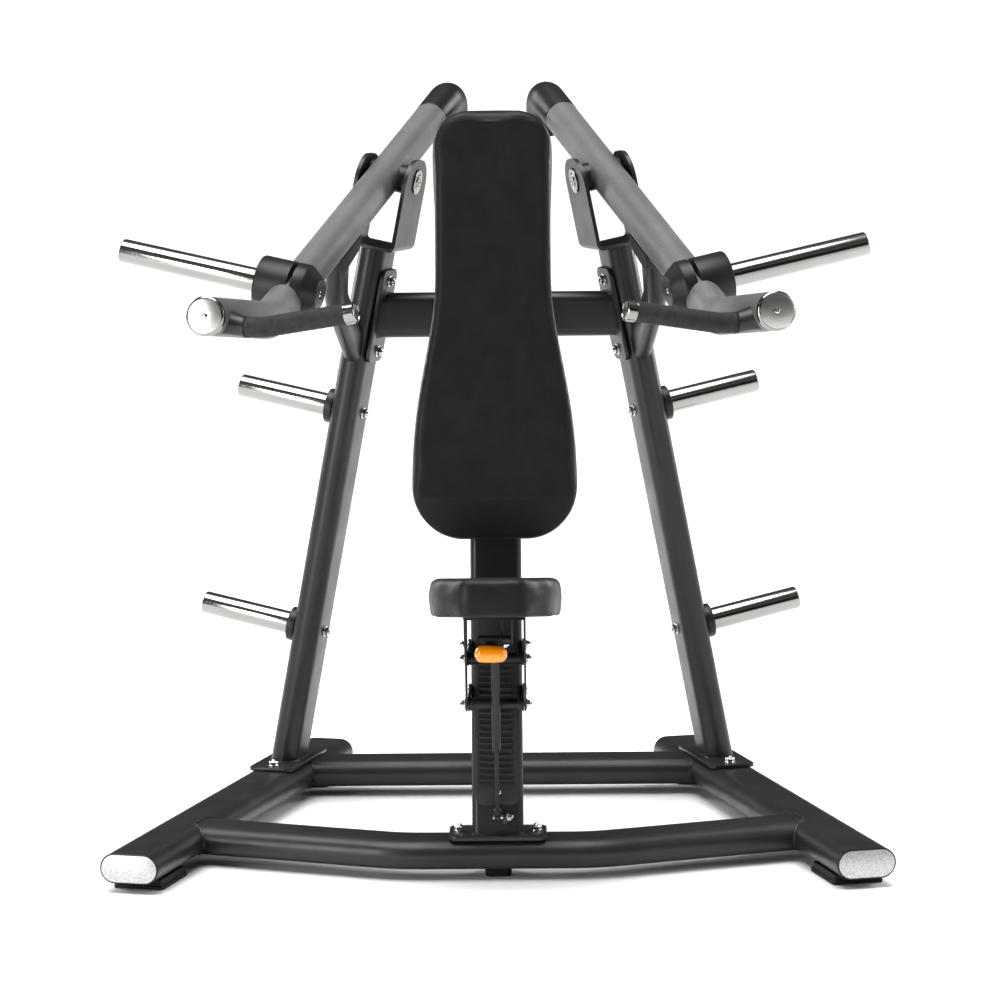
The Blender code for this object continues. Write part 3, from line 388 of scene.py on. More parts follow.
def leather():
    """Upholstery vinyl: fine pebble grain, faint wrinkles and a soft sheen."""
    made, tree, shader = new_material("pad_leather")
    coords = tree.nodes.new("ShaderNodeTexCoord")
    pebbles = tree.nodes.new("ShaderNodeTexVoronoi")
    pebbles.feature = "SMOOTH_F1"
    pebbles.inputs["Scale"].default_value = 780.0
    tree.links.new(coords.outputs["Object"], pebbles.inputs["Vector"])
    base = (0.0135, 0.0135, 0.0134)
    tint = ramp(tree, noise(tree, 5.0, 5.0), ((0.28, shade(base, 0.95)), (0.75, shade(base, 1.05))))
    tree.links.new(tint, shader.inputs["Base Color"])
    tree.links.new(spread(tree, noise(tree, 24.0, 4.0), 0.40, 0.54), shader.inputs["Roughness"])
    shader.inputs["Specular IOR Level"].default_value = 0.26
    shader.inputs["Sheen Weight"].default_value = 0.03
    shader.inputs["Sheen Roughness"].default_value = 0.45
    creases = bump(tree, shader, noise(tree, 42.0, 5.0, 0.6), 0.00035)
    bump(tree, shader, pebbles.outputs["Distance"], 0.00010, creases)
    return made


def foam_grip():
    """Ribbed rubber sleeve: pores over soft moulded waves."""
    made, tree, shader = new_material("grip_rubber")
    base = (0.020, 0.020, 0.020)
    tint = ramp(tree, noise(tree, 60.0, 4.0), ((0.3, shade(base, 0.75)), (0.7, shade(base, 1.3))))
    tree.links.new(tint, shader.inputs["Base Color"])
    tree.links.new(spread(tree, noise(tree, 90.0, 3.0), 0.62, 0.82), shader.inputs["Roughness"])
    waves = bump(tree, shader, noise(tree, 70.0, 2.0, stretch=(1.0, 0.3, 0.3)), 0.0006)
    bump(tree, shader, noise(tree, 1500.0, 2.0), 0.00010, waves)
    return made


LOOKS = {
    # name: (maker, material slot of the record, the maker's values)
    "frame": (coated, "frame_charcoal",
              ("frame_powder_coat", (0.031, 0.0303, 0.0290), 0.25, (0.32, 0.42), 900.0, 0.00005, 0.10)),
    "arm": (coated, "arm_grey",
            ("arm_metallic_coat", (0.140, 0.140, 0.136), 0.25, (0.48, 0.60), 560.0, 0.00010, 0.60)),
    "satin": (coated, "black_satin",
              ("black_satin_coat", (0.018, 0.018, 0.018), 0.25, (0.34, 0.46), 1000.0, 0.00006, 0.08)),
    # the fairing's arm grey darkened to a painted shade, as if it always lay in the arm's shadow
    "stub": (coated, "arm_grey",
             ("stub_coat", (0.040, 0.041, 0.042), 0.50, (0.34, 0.46), 1000.0, 0.00010, 0.25)),
    "chrome": (plated, "chrome",
               ("polished_chrome", (0.33, 0.325, 0.312), (0.12, 0.16), (0.08, 1.0, 1.0), 0.0)),
    "zinc": (plated, "chrome", ("zinc_plate", (0.66, 0.66, 0.64), (0.16, 0.26), (1.0, 1.0, 1.0), 0.000004)),
    "cap": (sparkling, "brushed_cap", ("rail_cap_metal", (0.56, 0.56, 0.55))),
    "disc": (plated, "chrome", ("turned_cap_face", (0.60, 0.585, 0.56), (0.28, 0.33), (1.0, 1.0, 1.0), 0.0)),
    "rubber": (coated, "rubber",
               ("moulded_rubber", (0.014, 0.014, 0.014), 0.0, (0.66, 0.82), 700.0, 0.00014)),
    "grip": (foam_grip, "rubber", ()),
    "leather": (leather, "pad_leather", ()),
    "plastic": (coated, "guard_plastic",
                ("moulded_plastic", (0.020, 0.020, 0.020), 0.0, (0.40, 0.54), 1300.0, 0.00007)),
    "board": (coated, "black_satin",
              ("board_paint", (0.012, 0.012, 0.012), 0.0, (0.55, 0.70), 500.0, 0.00012)),
    "orange": (coated, "orange_plastic",
               ("orange_gloss", (1.0, 0.300, 0.003), 0.0, (0.16, 0.22), 240.0, 0.00001, 0.0, 1.0)),
}
_made = {}


def look(name):
    if name not in _made:
        maker, _, values = LOOKS[name]
        _made[name] = maker(*values)
    return _made[name]


# ---------------------------------------------------------------- sections and solids
def outward_faces(bm):
    bmesh.ops.recalc_face_normals(bm, faces=bm.faces)
    if bm.calc_volume(signed=True) < 0:
        bmesh.ops.reverse_faces(bm, faces=bm.faces)
    return bm


def circle(radius, count=ROUND):
    return [(radius * cos(2 * pi * i / count), radius * sin(2 * pi * i / count)) for i in range(count)]


def rounded(width, height, radius, steps=10):
    points = []
    for quarter, (cx, cy) in enumerate(((1, 1), (-1, 1), (-1, -1), (1, -1))):
        for i in range(steps + 1):
            angle = (quarter + i / steps) * pi / 2
            points.append((cx * (width / 2 - radius) + radius * cos(angle),
                           cy * (height / 2 - radius) + radius * sin(angle)))
    return points


def flat_oval(width=TUBE_W, height=TUBE_H):
    radius = height / 2
    points = []
    for end in (0, 1):
        for i in range(ARC + 1):
            angle = -pi / 2 + end * pi + pi * i / ARC
            points.append(((1 - 2 * end) * (width / 2 - radius) + radius * cos(angle), radius * sin(angle)))
    return points


def loft(rings, closed=False):
    """Solid through equal-length rings of points, capped at both ends unless it is closed on itself."""
    bm = bmesh.new()
    rows = [[bm.verts.new(point) for point in ring] for ring in rings]
    count = len(rows[0])
    pairs = list(zip(rows, rows[1:]))
    if closed:
        pairs.append((rows[-1], rows[0]))
    for low, high in pairs:
        for i in range(count):
            j = (i + 1) % count
            bm.faces.new((low[i], low[j], high[j], high[i]))
    if not closed:
        bm.faces.new(list(reversed(rows[0])))
        bm.faces.new(rows[-1])
    return outward_faces(bm)


def filleted(points, radius, steps=16):
    """Path with each inner corner replaced by an arc."""
    path = [Vector(points[0])]
    for before, corner, after in zip(points, points[1:], points[2:]):
        corner = Vector(corner)
        back = (Vector(before) - corner).normalized()
        ahead = (Vector(after) - corner).normalized()
        half = back.angle(ahead) / 2
        centre = corner + (back + ahead).normalized() * radius / sin(half)
        start = corner + back * radius / tan(half) - centre
        axis = back.cross(ahead).normalized()
        for i in range(steps + 1):
            path.append(centre + Matrix.Rotation(-(pi - 2 * half) * i / steps, 3, axis) @ start)
    path.append(Vector(points[-1]))
    return path


def sweep(path, section, up, scales=None):
    """Solid swept along a path whose bends lie square to up; section is (across, up)."""
    path = [Vector(point) for point in path]
    up = Vector(up).normalized()
    scales = scales or [1.0] * len(path)
    rings = []
    for i, point in enumerate(path):
        ways = []
        if i > 0:
            ways.append((point - path[i - 1]).normalized())
        if i < len(path) - 1:
            ways.append((path[i + 1] - point).normalized())
        tangent = sum(ways, Vector()).normalized()
        stretch = 1.0 / max(0.2, tangent.dot(ways[0]))
        across = tangent.cross(up).normalized()
        rings.append([point + across * (a * stretch * scales[i]) + up * (b * scales[i]) for a, b in section])
    return loft(rings)


def lathe(start, way, profile, count=ROUND):
    """Turned solid: profile is (distance along way, radius)."""
    start = Vector(start)
    way = Vector(way).normalized()
    up = UP if abs(way.z) < 0.9 else Vector((0, 1, 0))
    across = way.cross(up).normalized()
    up = across.cross(way)
    rings = []
    for along, radius in profile:
        rings.append([start + way * along + across * a + up * b for a, b in circle(radius, count)])
    return loft(rings)


def rod(start, end, radius, edge=0.0, count=ROUND):
    """Cylinder with its rims rounded by edge."""
    start = Vector(start)
    length = (Vector(end) - start).length
    return lathe(start, Vector(end) - start, eased(0.0, length, radius, edge), count)


def eased(low, high, radius, edge, steps=3):
    """Profile of a cylinder from low to high with quarter-round rims."""
    if not edge:
        return [(low, radius), (high, radius)]
    profile = []
    for i in range(steps + 1):
        angle = i / steps * pi / 2
        profile.append((low + edge * (1 - cos(angle)), radius - edge * (1 - sin(angle))))
    return profile + [(high - (along - low), size) for along, size in reversed(profile)]


def prism(outline, low, high, matrix=None, edge=0.0):
    """Outline pushed from z = low to z = high, its rims eased by edge, then placed by matrix."""
    layers = [(low, 0.0), (high, 0.0)]
    if edge:
        layers = [(low, edge), (low + edge * 0.3, edge * 0.3), (low + edge, 0.0),
                  (high - edge, 0.0), (high - edge * 0.3, edge * 0.3), (high, edge)]
    bm = loft([[Vector((x, y, z)) for x, y in shrink(outline, inset)] for z, inset in layers])
    if matrix:
        bm.transform(matrix)
    return outward_faces(bm)


def shrink(points, inset):
    """Move each point of a counter-clockwise outline inwards, keeping its sides parallel."""
    if not inset:
        return points
    result = []
    count = len(points)
    for i, (x, y) in enumerate(points):
        before = Vector(points[i - 1])
        after = Vector(points[(i + 1) % count])
        here = Vector((x, y))
        one = (here - before).normalized()
        two = (after - here).normalized()
        way = (one + two).normalized()
        reach = inset / max(0.35, way.dot(one))
        result.append((x - way.y * reach, y + way.x * reach))
    return result


def block(low, high, matrix=None, edge=0.0):
    outline = [(low[0], low[1]), (high[0], low[1]), (high[0], high[1]), (low[0], high[1])]
    return prism(outline, low[2], high[2], matrix, edge)


def trim(bm, point, normal):
    """Keep what lies behind the plane and close the cut."""
    geometry = list(bm.verts) + list(bm.edges) + list(bm.faces)
    cut_through = bmesh.ops.bisect_plane(bm, geom=geometry, plane_co=point, plane_no=normal, clear_outer=True)
    rim = [item for item in cut_through["geom_cut"] if isinstance(item, bmesh.types.BMEdge)]
    bmesh.ops.contextual_create(bm, geom=rim)
    return outward_faces(bm)


def combine(bm, other, operation):
    """Exact Boolean of two solids."""
    made = []
    for source in (bm, other):
        mesh = bpy.data.meshes.new("work")
        source.to_mesh(mesh)
        source.free()
        item = bpy.data.objects.new("work", mesh)
        bpy.context.scene.collection.objects.link(item)
        made.append(item)
    modifier = made[0].modifiers.new("combine", "BOOLEAN")
    modifier.operation = operation
    modifier.solver = "EXACT"
    modifier.object = made[1]
    bpy.context.view_layer.update()
    result = bmesh.new()
    result.from_mesh(made[0].evaluated_get(bpy.context.evaluated_depsgraph_get()).to_mesh())
    for item in made:
        mesh = item.data
        bpy.data.objects.remove(item)
        bpy.data.meshes.remove(mesh)
    bmesh.ops.remove_doubles(result, verts=result.verts, dist=1e-5)
    bmesh.ops.dissolve_degenerate(result, edges=result.edges, dist=1e-5)
    return result


def cut(bm, *cutters):
    for cutter in cutters:
        bm = combine(bm, cutter, "DIFFERENCE")
    return bm


def join(bm, *others):
    for other in others:
        bm = combine(bm, other, "UNION")
    return bm


def together(*solids):
    """Separate solids in one mesh."""
    bm = bmesh.new()
    for solid in solids:
        mesh = bpy.data.meshes.new("work")
        solid.to_mesh(mesh)
        solid.free()
        bm.from_mesh(mesh)
        bpy.data.meshes.remove(mesh)
    return bm


def mirrored(bm):
    other = bm.copy()
    other.transform(Matrix.Scale(-1, 4, (1, 0, 0)))
    bmesh.ops.reverse_faces(other, faces=other.faces)
    return other


# ---------------------------------------------------------------- pieces
def show(name, bm, finish, body, nodes=(), edge=0.0, sharp=33.0):
    """One visible piece; edge rounds its corners, and sharp is the least angle in degrees of a corner."""
    bm.transform(SHIFT)
    mesh = bpy.data.meshes.new(name)
    bm.to_mesh(mesh)
    bm.free()
    mesh.materials.append(look(finish))
    mesh.shade_smooth()
    item = bpy.data.objects.new(name, mesh)
    bpy.context.scene.collection.objects.link(item)
    if edge:
        modifier = item.modifiers.new("eased corners", "BEVEL")
        modifier.width = edge
        modifier.segments = 3
        modifier.limit_method = "ANGLE"
        modifier.angle_limit = radians(sharp)
        modifier.harden_normals = True
    else:
        mesh.set_sharp_from_angle(angle=radians(sharp))
    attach(item, body)
    if nodes:
        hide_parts(*nodes)
    return item


def show_pair(name, bm, finish, body="frame", nodes=(), edge=0.0, sharp=33.0):
    """The right-hand piece and its mirror image; body is frame or arm."""
    other = mirrored(bm)
    for side, solid in (("right", bm), ("left", other)):
        rides = body if body == "frame" else f"{side}_{body}"
        show(f"{side}_{name}", solid, finish, rides, [f"{side}_{node}" for node in nodes], edge, sharp)


def refine(node, finish, body, edge=0.0, sharp=33.0):
    """Copy of a boxy CAD piece with its triangles merged back into faces and its corners eased."""
    bm = bmesh.new()
    bm.from_mesh(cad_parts[node].data)
    bmesh.ops.remove_doubles(bm, verts=bm.verts, dist=1e-6)
    bmesh.ops.dissolve_limit(bm, angle_limit=radians(1.0), verts=bm.verts, edges=bm.edges)
    bm.transform(SHIFT.inverted())
    return show(node + "_shown", bm, finish, body, [node], edge, sharp)


def weld(target, path_point, way, section, up, radius=0.0028, lift=0.0):
    """Bead where a tube of that section, coming along way, meets the target solid."""
    tree = BVHTree.FromBMesh(target)
    way = Vector(way).normalized()
    up = Vector(up)
    up = (up - way * up.dot(way)).normalized()
    across = way.cross(up).normalized()
    ring = []
    for a, b in section:
        start = Vector(path_point) + across * a + up * b
        hit = tree.ray_cast(start, way)[0]
        if hit is None:
            return None
        ring.append(hit - way * lift)
    return bead(ring, radius)


def bead(ring, radius, count=8):
    """Closed round cord through a ring of points, with a slightly uneven, rippled thickness."""
    centre = sum(ring, Vector()) / len(ring)
    rings = []
    total = len(ring)
    for i, point in enumerate(ring):
        way = (ring[(i + 1) % total] - ring[i - 1]).normalized()
        outer = (point - centre)
        outer = (outer - way * outer.dot(way)).normalized()
        side = way.cross(outer)
        size = radius * (1.0 + 0.10 * sin(i * 2.4))
        cord = []
        for k in range(count):
            angle = 2 * pi * k / count
            cord.append(point + outer * (size * cos(angle)) + side * (size * sin(angle)))
        rings.append(cord)
    return loft(rings, closed=True)


def washer(point, way, radius=0.0125, thick=0.0022):
    return lathe(point, way, eased(0.0, thick, radius, 0.0006, 2), 40)


def hex_bolt(point, way, flats=0.0085, height=0.0075, stud=0.0048):
    """Washer, hexagon nut and domed stud end standing on a face; flats is half the width across flats."""
    way = Vector(way).normalized()
    point = Vector(point)
    corner = flats / cos(pi / 6)
    top = 0.0022 + height
    nut = lathe(point, way, ((0.0022, corner * 0.97), (0.0030, corner), (top - 0.0012, corner),
                             (top, corner * 0.90)), 6)
    end = lathe(point, way, ((top, stud), (top + 0.0028, stud), (top + 0.0042, stud * 0.6)), 20)
    return together(washer(point, way, flats * 1.45), nut, end)


def socket_bolt(point, way, radius=0.0085, height=0.0045, with_washer=True):
    """Domed button head with a hexagon socket, on a washer."""
    way = Vector(way).normalized()
    base = Vector(point) + way * (0.002 if with_washer else 0.0)
    profile = [(height * sin(i / 5 * pi / 2), radius * (0.42 + 0.58 * cos(i / 5 * pi / 2))) for i in range(6)]
    head = lathe(base, way, [(0.0, radius)] + profile[1:], 40)
    head = cut(head, lathe(base, way, ((height * 0.35, radius * 0.36), (height * 1.3, radius * 0.36)), 6))
    if not with_washer:
        return head
    return together(washer(point, way, radius * 1.35, 0.002), head)


# ---------------------------------------------------------------- base
def rail(extra=0.0):
    rings = []
    stations = [(0.0, 0.0)]
    for i in range(11):
        angle = i / 10 * radians(80)
        stations.append((RAIL_LENGTH - RAIL_DOME + RAIL_DOME * sin(angle), RAIL_DOME * (1 - cos(angle))))
    for along, inset in stations:
        section = flat_oval(TUBE_W + 2 * (extra - inset), TUBE_H + 2 * (extra - inset))
        rings.append([RAIL @ Vector((along, a, b)) for a, b in section])
    return loft(rings)


def on_rail(stations):
    """Solid of the rail's section through (distance behind its front end, inset) stations."""
    rings = []
    for along, inset in stations:
        section = flat_oval(TUBE_W - 2 * inset, TUBE_H - 2 * inset)
        rings.append([RAIL @ Vector((along, a, b)) for a, b in section])
    return loft(rings)


def rail_cap():
    """Cap plate with a thin rim left round its face."""
    return on_rail(((-GAP, 0.0), (-CAP_T + 0.0014, 0.0), (-CAP_T + 0.0004, 0.0004), (-CAP_T, 0.0014)))


def cap_face():
    return on_rail(((-CAP_T + 0.0002, 0.0032), (-CAP_T - 0.0003, 0.0032), (-CAP_T - 0.0006, 0.0038)))


def foot(length, back):
    """Rubber foot: a flared tread under a narrower body, with grip grooves across the tread."""
    top = FLOOR_GAP - GAP - RAIL_Z
    bottom = -RAIL_Z
    rings = []
    stations = ((bottom, 0.0012), (bottom + 0.0012, 0.0), (bottom + 0.0060, 0.0), (bottom + 0.0072, 0.0010),
                (bottom + 0.0078, 0.0032), (top - 0.0008, 0.0040), (top, 0.0048))
    for z, inset in stations:
        section = rounded(length - 2 * inset, FOOT_W - 2 * inset, FOOT_CORNER - inset, 6)
        rings.append([Vector((x, y, z)) for x, y in section])
    bm = loft(rings)
    count = int(length / TREAD_PITCH)
    half, deep = TREAD_GROOVE
    for i in range(count):
        x = (i - (count - 1) / 2) * TREAD_PITCH
        groove = block((x - half, -FOOT_W, bottom - 0.01), (x + half, FOOT_W, bottom + deep))
        bm = cut(bm, groove)
    bm.transform(RAIL @ Matrix.Translation((back, 0, 0)))
    return bm


def between_rails(bar):
    """Cope both ends of a crossbar round the rails."""
    right = rail(GAP)
    bar = keep_middle(cut(bar, right.copy()))
    bar = keep_middle(cut(bar, mirrored(right)))
    right.free()
    return bar


def keep_middle(bm):
    bm.verts.ensure_lookup_table()
    start = min(bm.verts, key=lambda vert: abs(vert.co.x))
    seen = {start}
    front = [start]
    while front:
        vert = front.pop()
        for edge in vert.link_edges:
            other = edge.other_vert(vert)
            if other not in seen:
                seen.add(other)
                front.append(other)
    bmesh.ops.delete(bm, geom=[vert for vert in bm.verts if vert not in seen], context="VERTS")
    return bm


def build_base():
    end_x, end_y = FRONT_BAR_END
    corners = [(-end_x, end_y, RAIL_Z), (-FRONT_BAR_BEND_X, FRONT_BAR_Y, RAIL_Z),
               (FRONT_BAR_BEND_X, FRONT_BAR_Y, RAIL_Z), (end_x, end_y, RAIL_Z)]
    bar = sweep(filleted(corners, FRONT_BAR_BEND_R, 12), flat_oval(), UP)
    show("front_crossbar_tube", between_rails(bar), "frame", "frame", ["front_crossbar"])
    ends = ((-REAR_BAR_REACH, REAR_BAR_Y, RAIL_Z), (REAR_BAR_REACH, REAR_BAR_Y, RAIL_Z))
    bar = sweep(ends, flat_oval(), UP)
    show("rear_crossbar_tube", between_rails(bar), "frame", "frame", ["rear_crossbar"])
    beads = []
    target = rail()
    way = Vector((end_x - FRONT_BAR_BEND_X, end_y - FRONT_BAR_Y, 0))
    beads.append(weld(target, Vector(corners[2]) + 0.3 * way, way, flat_oval(), UP))
    beads.append(weld(target, (0.2, REAR_BAR_Y, RAIL_Z), (1, 0, 0), flat_oval(), UP))
    target.free()
    show_pair("crossbar_welds", together(*[item for item in beads if item]), "frame")
    show_pair("rail_tube", rail(), "frame", nodes=["base_rail"])
    show_pair("rail_cap_rim", rail_cap(), "satin", nodes=["rail_cap"])
    show_pair("rail_cap_face", cap_face(), "cap")
    show_pair("front_foot_rubber", foot(*FRONT_FOOT), "rubber", nodes=["front_foot"])
    show_pair("rear_foot_rubber", foot(*REAR_FOOT), "rubber", nodes=["rear_foot"])
    refine("centre_foot", "rubber", "frame")


# ---------------------------------------------------------------- uprights
def upright():
    rings = []
    for t in (-0.05, UPRIGHT_TOP):
        rings.append([at(raked(a, t), b, t) for a, b in flat_oval()])
    return trim(loft(rings), (0, 0, base_top() + 2 * GAP + FOOT_PLATE[2]), (0, 0, -1))


def foot_plate():
    length, width, thick = FOOT_PLATE
    low = TUBE_H / 2 + GAP
    matrix = RAIL @ Matrix.Translation((UPRIGHT_BACK, 0, 0))
    return prism(rounded(length, width, FOOT_PLATE_CORNER), low, low + thick, matrix, PLATE_EDGE)


def on_pivot(v):
    return at(PIVOT[0], v, PIVOT[1])


def strip_face(thick, radius, low):
    """One face of the bracket's bent strip in (v, t), from the inner ear's top to the outer ear's top."""
    faces = []
    for sign, reach in ((-1, thick - EAR_V[0]), (1, thick + EAR_V[1])):
        side = []
        for i in range(9):
            angle = i / 8 * pi / 2
            side.append((sign * (reach - radius + radius * sin(angle)), low + radius * (1 - cos(angle))))
        side.append((sign * reach, max(EAR_TOPS) + EAR_BEND_R))
        faces.append(side)
    return faces[0][::-1] + faces[1]


def ear_outline(top):
    """Outline (s, t) of an ear: large arcs above, small ones at its foot."""
    low = UPRIGHT_TOP + GAP
    small, large = EAR_FOOT_CORNER, EAR_CORNER
    corners = ((EAR_S[1] - large, top - large, large), (EAR_S[0] + large, top - large, large),
               (EAR_S[0] + small, low + small, small), (EAR_S[1] - small, low + small, small))
    outline = []
    for quarter, (s, t, radius) in enumerate(corners):
        for i in range(13):
            angle = (quarter + i / 12) * pi / 2
            outline.append((s + radius * cos(angle), t + radius * sin(angle)))
    return outline


def bracket():
    """Bent plate: a U-shaped strip cut to the ears' outline, with its pivot holes."""
    low = UPRIGHT_TOP + GAP
    strip = strip_face(EAR_T, EAR_BEND_R, low) + strip_face(0.0, EAR_BEND_R - EAR_T, low + EAR_T)[::-1]
    body = prism(strip, EAR_S[0] - EAR_T, EAR_S[1] + EAR_T, SIDE @ YZ)
    inner = prism(ear_outline(EAR_TOPS[0]), 2 * EAR_V[0], GAP, SIDE @ FLAT)
    outer = prism(ear_outline(EAR_TOPS[1]), 0.0, 3 * EAR_V[1], SIDE @ FLAT)
    body = combine(body, join(inner, outer), "INTERSECT")
    return cut(body, rod(on_pivot(2 * EAR_V[0]), on_pivot(3 * EAR_V[1]), SHAFT_R + GAP))


def pivot_discs():
    """Cover disc and socket screw on each end of the arm's shaft."""
    solids = []
    ends = (EAR_V[0] - EAR_T - GAP, EAR_V[1] + EAR_T + GAP)
    for sign, face in zip((-1, 1), ends):
        start = on_pivot(face)
        way = OUTWARD * sign
        solids.append(lathe(start, way, eased(0.0, 0.0035, DISC_R, 0.001)))
        hub = ((0.0035, 0.0165), (0.0050, 0.0160), (DISC_T, 0.0145), (DISC_T, 0.0095), (0.0046, 0.0085))
        solids.append(lathe(start, way, hub))
        solids.append(socket_bolt(start + way * 0.0040, way, 0.0085, 0.0040, False))
    shaft = rod(on_pivot(ends[0]), on_pivot(ends[1]), SHAFT_R)
    return together(shaft, *solids)


def beam_centre():
    return at(raked(0, BEAM_T), -TUBE_H / 2, BEAM_T)


def crossbeam():
    centre = beam_centre()
    ends = ((-BEAM_REACH, centre.y, centre.z), (BEAM_REACH, centre.y, centre.z))
    bar = sweep(ends, rounded(BEAM_D, BEAM_H, BEAM_CORNER), UP)
    face = at(0, -TUBE_H / 2 - 2 * GAP - BEAM_PLATE[2], 0)
    bar = trim(bar, face, OUTWARD)
    return trim(bar, (-face.x, face.y, face.z), (-OUTWARD.x, OUTWARD.y, OUTWARD.z))


def beam_plate():
    width, height, thick = BEAM_PLATE
    face = -TUBE_H / 2 - GAP - thick
    matrix = SIDE @ Matrix.Translation((raked(0, BEAM_T), 0, BEAM_T)) @ FLAT
    outline = rounded(width, height, BEAM_PLATE_CORNER)
    return prism(outline, face, face + thick, matrix, PLATE_EDGE)


def storage_flange(t):
    start = TUBE_H / 2 + GAP
    radius, thick = STORAGE_FLANGE
    return lathe(at(raked(0, t), start, t), OUTWARD, eased(0.0, thick, radius, 0.002))


def horn(s, t, low, high):
    """Chromed sleeve with a rounded rim, lipped inside to take a recessed end plug."""
    length = high - low
    profile = [(0.0, HORN_R), (length - 0.0030, HORN_R), (length - 0.0012, HORN_R - 0.0005),
               (length - 0.0003, HORN_R - 0.0014), (length, HORN_R - 0.0028),
               (length - 0.0022, HORN_R - 0.0034)]
    return lathe(at(s, low, t), OUTWARD, profile)


def horn_plug(s, t, high):
    profile = ((0.0, HORN_R - 0.0036), (0.0010, HORN_R - 0.0040), (0.0014, HORN_R - 0.0060),
               (0.0014, 0.004), (0.0010, 0.003))
    return lathe(at(s, high - 0.0021, t), OUTWARD, profile)


def arm_stop():
    path = [at(s, 0, t) for s, t in STOP_PATH]
    tube = sweep(filleted(path, STOP_BEND_R, 12), flat_oval(STOP_W, STOP_H), OUTWARD)
    section = flat_oval(TUBE_W + 2 * GAP, TUBE_H + 2 * GAP)
    rings = [[at(raked(a, t), b, t) for a, b in section] for t in (0.0, UPRIGHT_TOP)]
    way = Vector((-sin(ARM_SLOPE), 0, -cos(ARM_SLOPE)))
    start = Vector((BUMPER_S, 0, arm_t(BUMPER_S)))
    room = ARM_R + BUMPER_T + 3 * GAP
    clear = rod(SIDE @ (start + way * (ARM_R - 0.02)), SIDE @ (start + way * room), 0.06)
    return cut(tube, loft(rings), clear)


def cradle():
    """Rubber-faced saddle on top of the stop, lying along the arm's underside."""
    along = Vector((cos(ARM_SLOPE), 0, -sin(ARM_SLOPE)))
    down = Vector((-sin(ARM_SLOPE), 0, -cos(ARM_SLOPE)))
    centre = Vector((BUMPER_S, 0, arm_t(BUMPER_S)))
    place = Matrix((
        (along.x, 0.0, -down.x, centre.x),
        (0.0, 1.0, 0.0, 0.0),
        (along.z, 0.0, -down.z, centre.z),
        (0.0, 0.0, 0.0, 1.0)))
    top = -ARM_R - 2 * GAP + CRADLE_CHEEK
    outline = [(-0.058, top), (-0.050, top - 0.030), (0.030, top - 0.042), (0.050, top - 0.032), (0.058, top)]
    body = prism(outline, -CRADLE_HALF, CRADLE_HALF, SIDE @ place @ FLAT)
    trough = rod(SIDE @ (centre - along * 0.2), SIDE @ (centre + along * 0.2), ARM_R + 2 * GAP)
    return cut(body, trough)


def frame_bolts():
    """Bolts of one upright: foot plate, beam plate and the screws that hold the storage horns."""
    solids = []
    top = TUBE_H / 2 + GAP + FOOT_PLATE[2]
    for along in (-FOOT_PLATE_BOLT, FOOT_PLATE_BOLT):
        solids.append(hex_bolt(RAIL @ Vector((UPRIGHT_BACK + along, 0, top)), UP))
    face = -TUBE_H / 2 - GAP - BEAM_PLATE[2]
    for t in (BEAM_T - BEAM_PLATE_BOLT, BEAM_T + BEAM_PLATE_BOLT):
        solids.append(hex_bolt(at(raked(0, t), face, t), -OUTWARD))
    for t in STORAGE_T:
        solids.append(hex_bolt(at(raked(0, t), -TUBE_H / 2, t), -OUTWARD))
    return together(*solids)


def upright_welds():
    section = flat_oval()
    way = (at(raked(0, 1), 0, 1) - at(0, 0, 0)).normalized()
    top = base_top() + GAP + FOOT_PLATE[2]
    foot_ring = []
    for a, b in section:
        start = at(a, b, 0.0)
        foot_ring.append(start + way * ((top - start.z) / way.z))
    head_ring = [at(raked(a, UPRIGHT_TOP), b, UPRIGHT_TOP) for a, b in section]
    beam = []
    face = at(0, -TUBE_H / 2 - GAP - BEAM_PLATE[2], 0)
    centre = beam_centre()
    for a, b in rounded(BEAM_D, BEAM_H, BEAM_CORNER):
        start = Vector((0.0, centre.y + a, centre.z + b))
        beam.append(start + Vector((1, 0, 0)) * ((face - start).dot(OUTWARD) / OUTWARD.x))
    return together(bead(foot_ring, 0.0030), bead(head_ring, 0.0026), bead(beam, 0.0026))


def build_uprights():
    show_pair("foot_plate_steel", foot_plate(), "frame", nodes=["foot_plate"])
    show_pair("upright_tube", upright(), "frame", nodes=["upright"])
    show_pair("upright_welds", upright_welds(), "frame")
    show_pair("pivot_bracket_plate", bracket(), "frame", nodes=["pivot_bracket"], edge=0.0012, sharp=40)
    show_pair("pivot_discs", pivot_discs(), "chrome", nodes=["pivot_shaft"])
    show_pair("beam_plate_steel", beam_plate(), "frame", nodes=["beam_plate"])
    show("crossbeam_tube", crossbeam(), "frame", "frame", ["crossbeam"])
    for label, t in zip(("lower", "upper"), STORAGE_T):
        show_pair(f"{label}_horn_flange", storage_flange(t), "satin")
        low = TUBE_H / 2 + GAP + STORAGE_FLANGE[1] - 0.001
        show_pair(f"{label}_horn_sleeve", horn(raked(0, t), t, low, STORAGE_END), "chrome",
                  nodes=[f"{label}_storage_horn"])
        show_pair(f"{label}_horn_plug", horn_plug(raked(0, t), t, STORAGE_END), "satin")
    show_pair("arm_stop_tube", arm_stop(), "frame", nodes=["arm_stop"], sharp=40)
    show_pair("stop_cradle", cradle(), "rubber", nodes=["stop_bumper"], edge=0.0015, sharp=40)
    show_pair("frame_bolts", frame_bolts(), "zinc")


# ---------------------------------------------------------------- arms
def arm_way():
    return FORWARD * cos(ARM_SLOPE) - ALONG * sin(ARM_SLOPE)


def arm_tube():
    points = [(ARM_REAR_S, arm_t(ARM_REAR_S)), (ELBOW_S, arm_t(ELBOW_S)), (FRONT_S, front_t(FRONT_S))]
    path = filleted([at(s, 0, t) for s, t in points], ELBOW_R, 20)
    return sweep(path, circle(ARM_R), OUTWARD)


def housing():
    start = EAR_V[0] + HOUSING_PLAY
    length = EAR_V[1] - HOUSING_PLAY - start
    return lathe(on_pivot(start), OUTWARD, eased(0.0, length, HOUSING_R, 0.002))


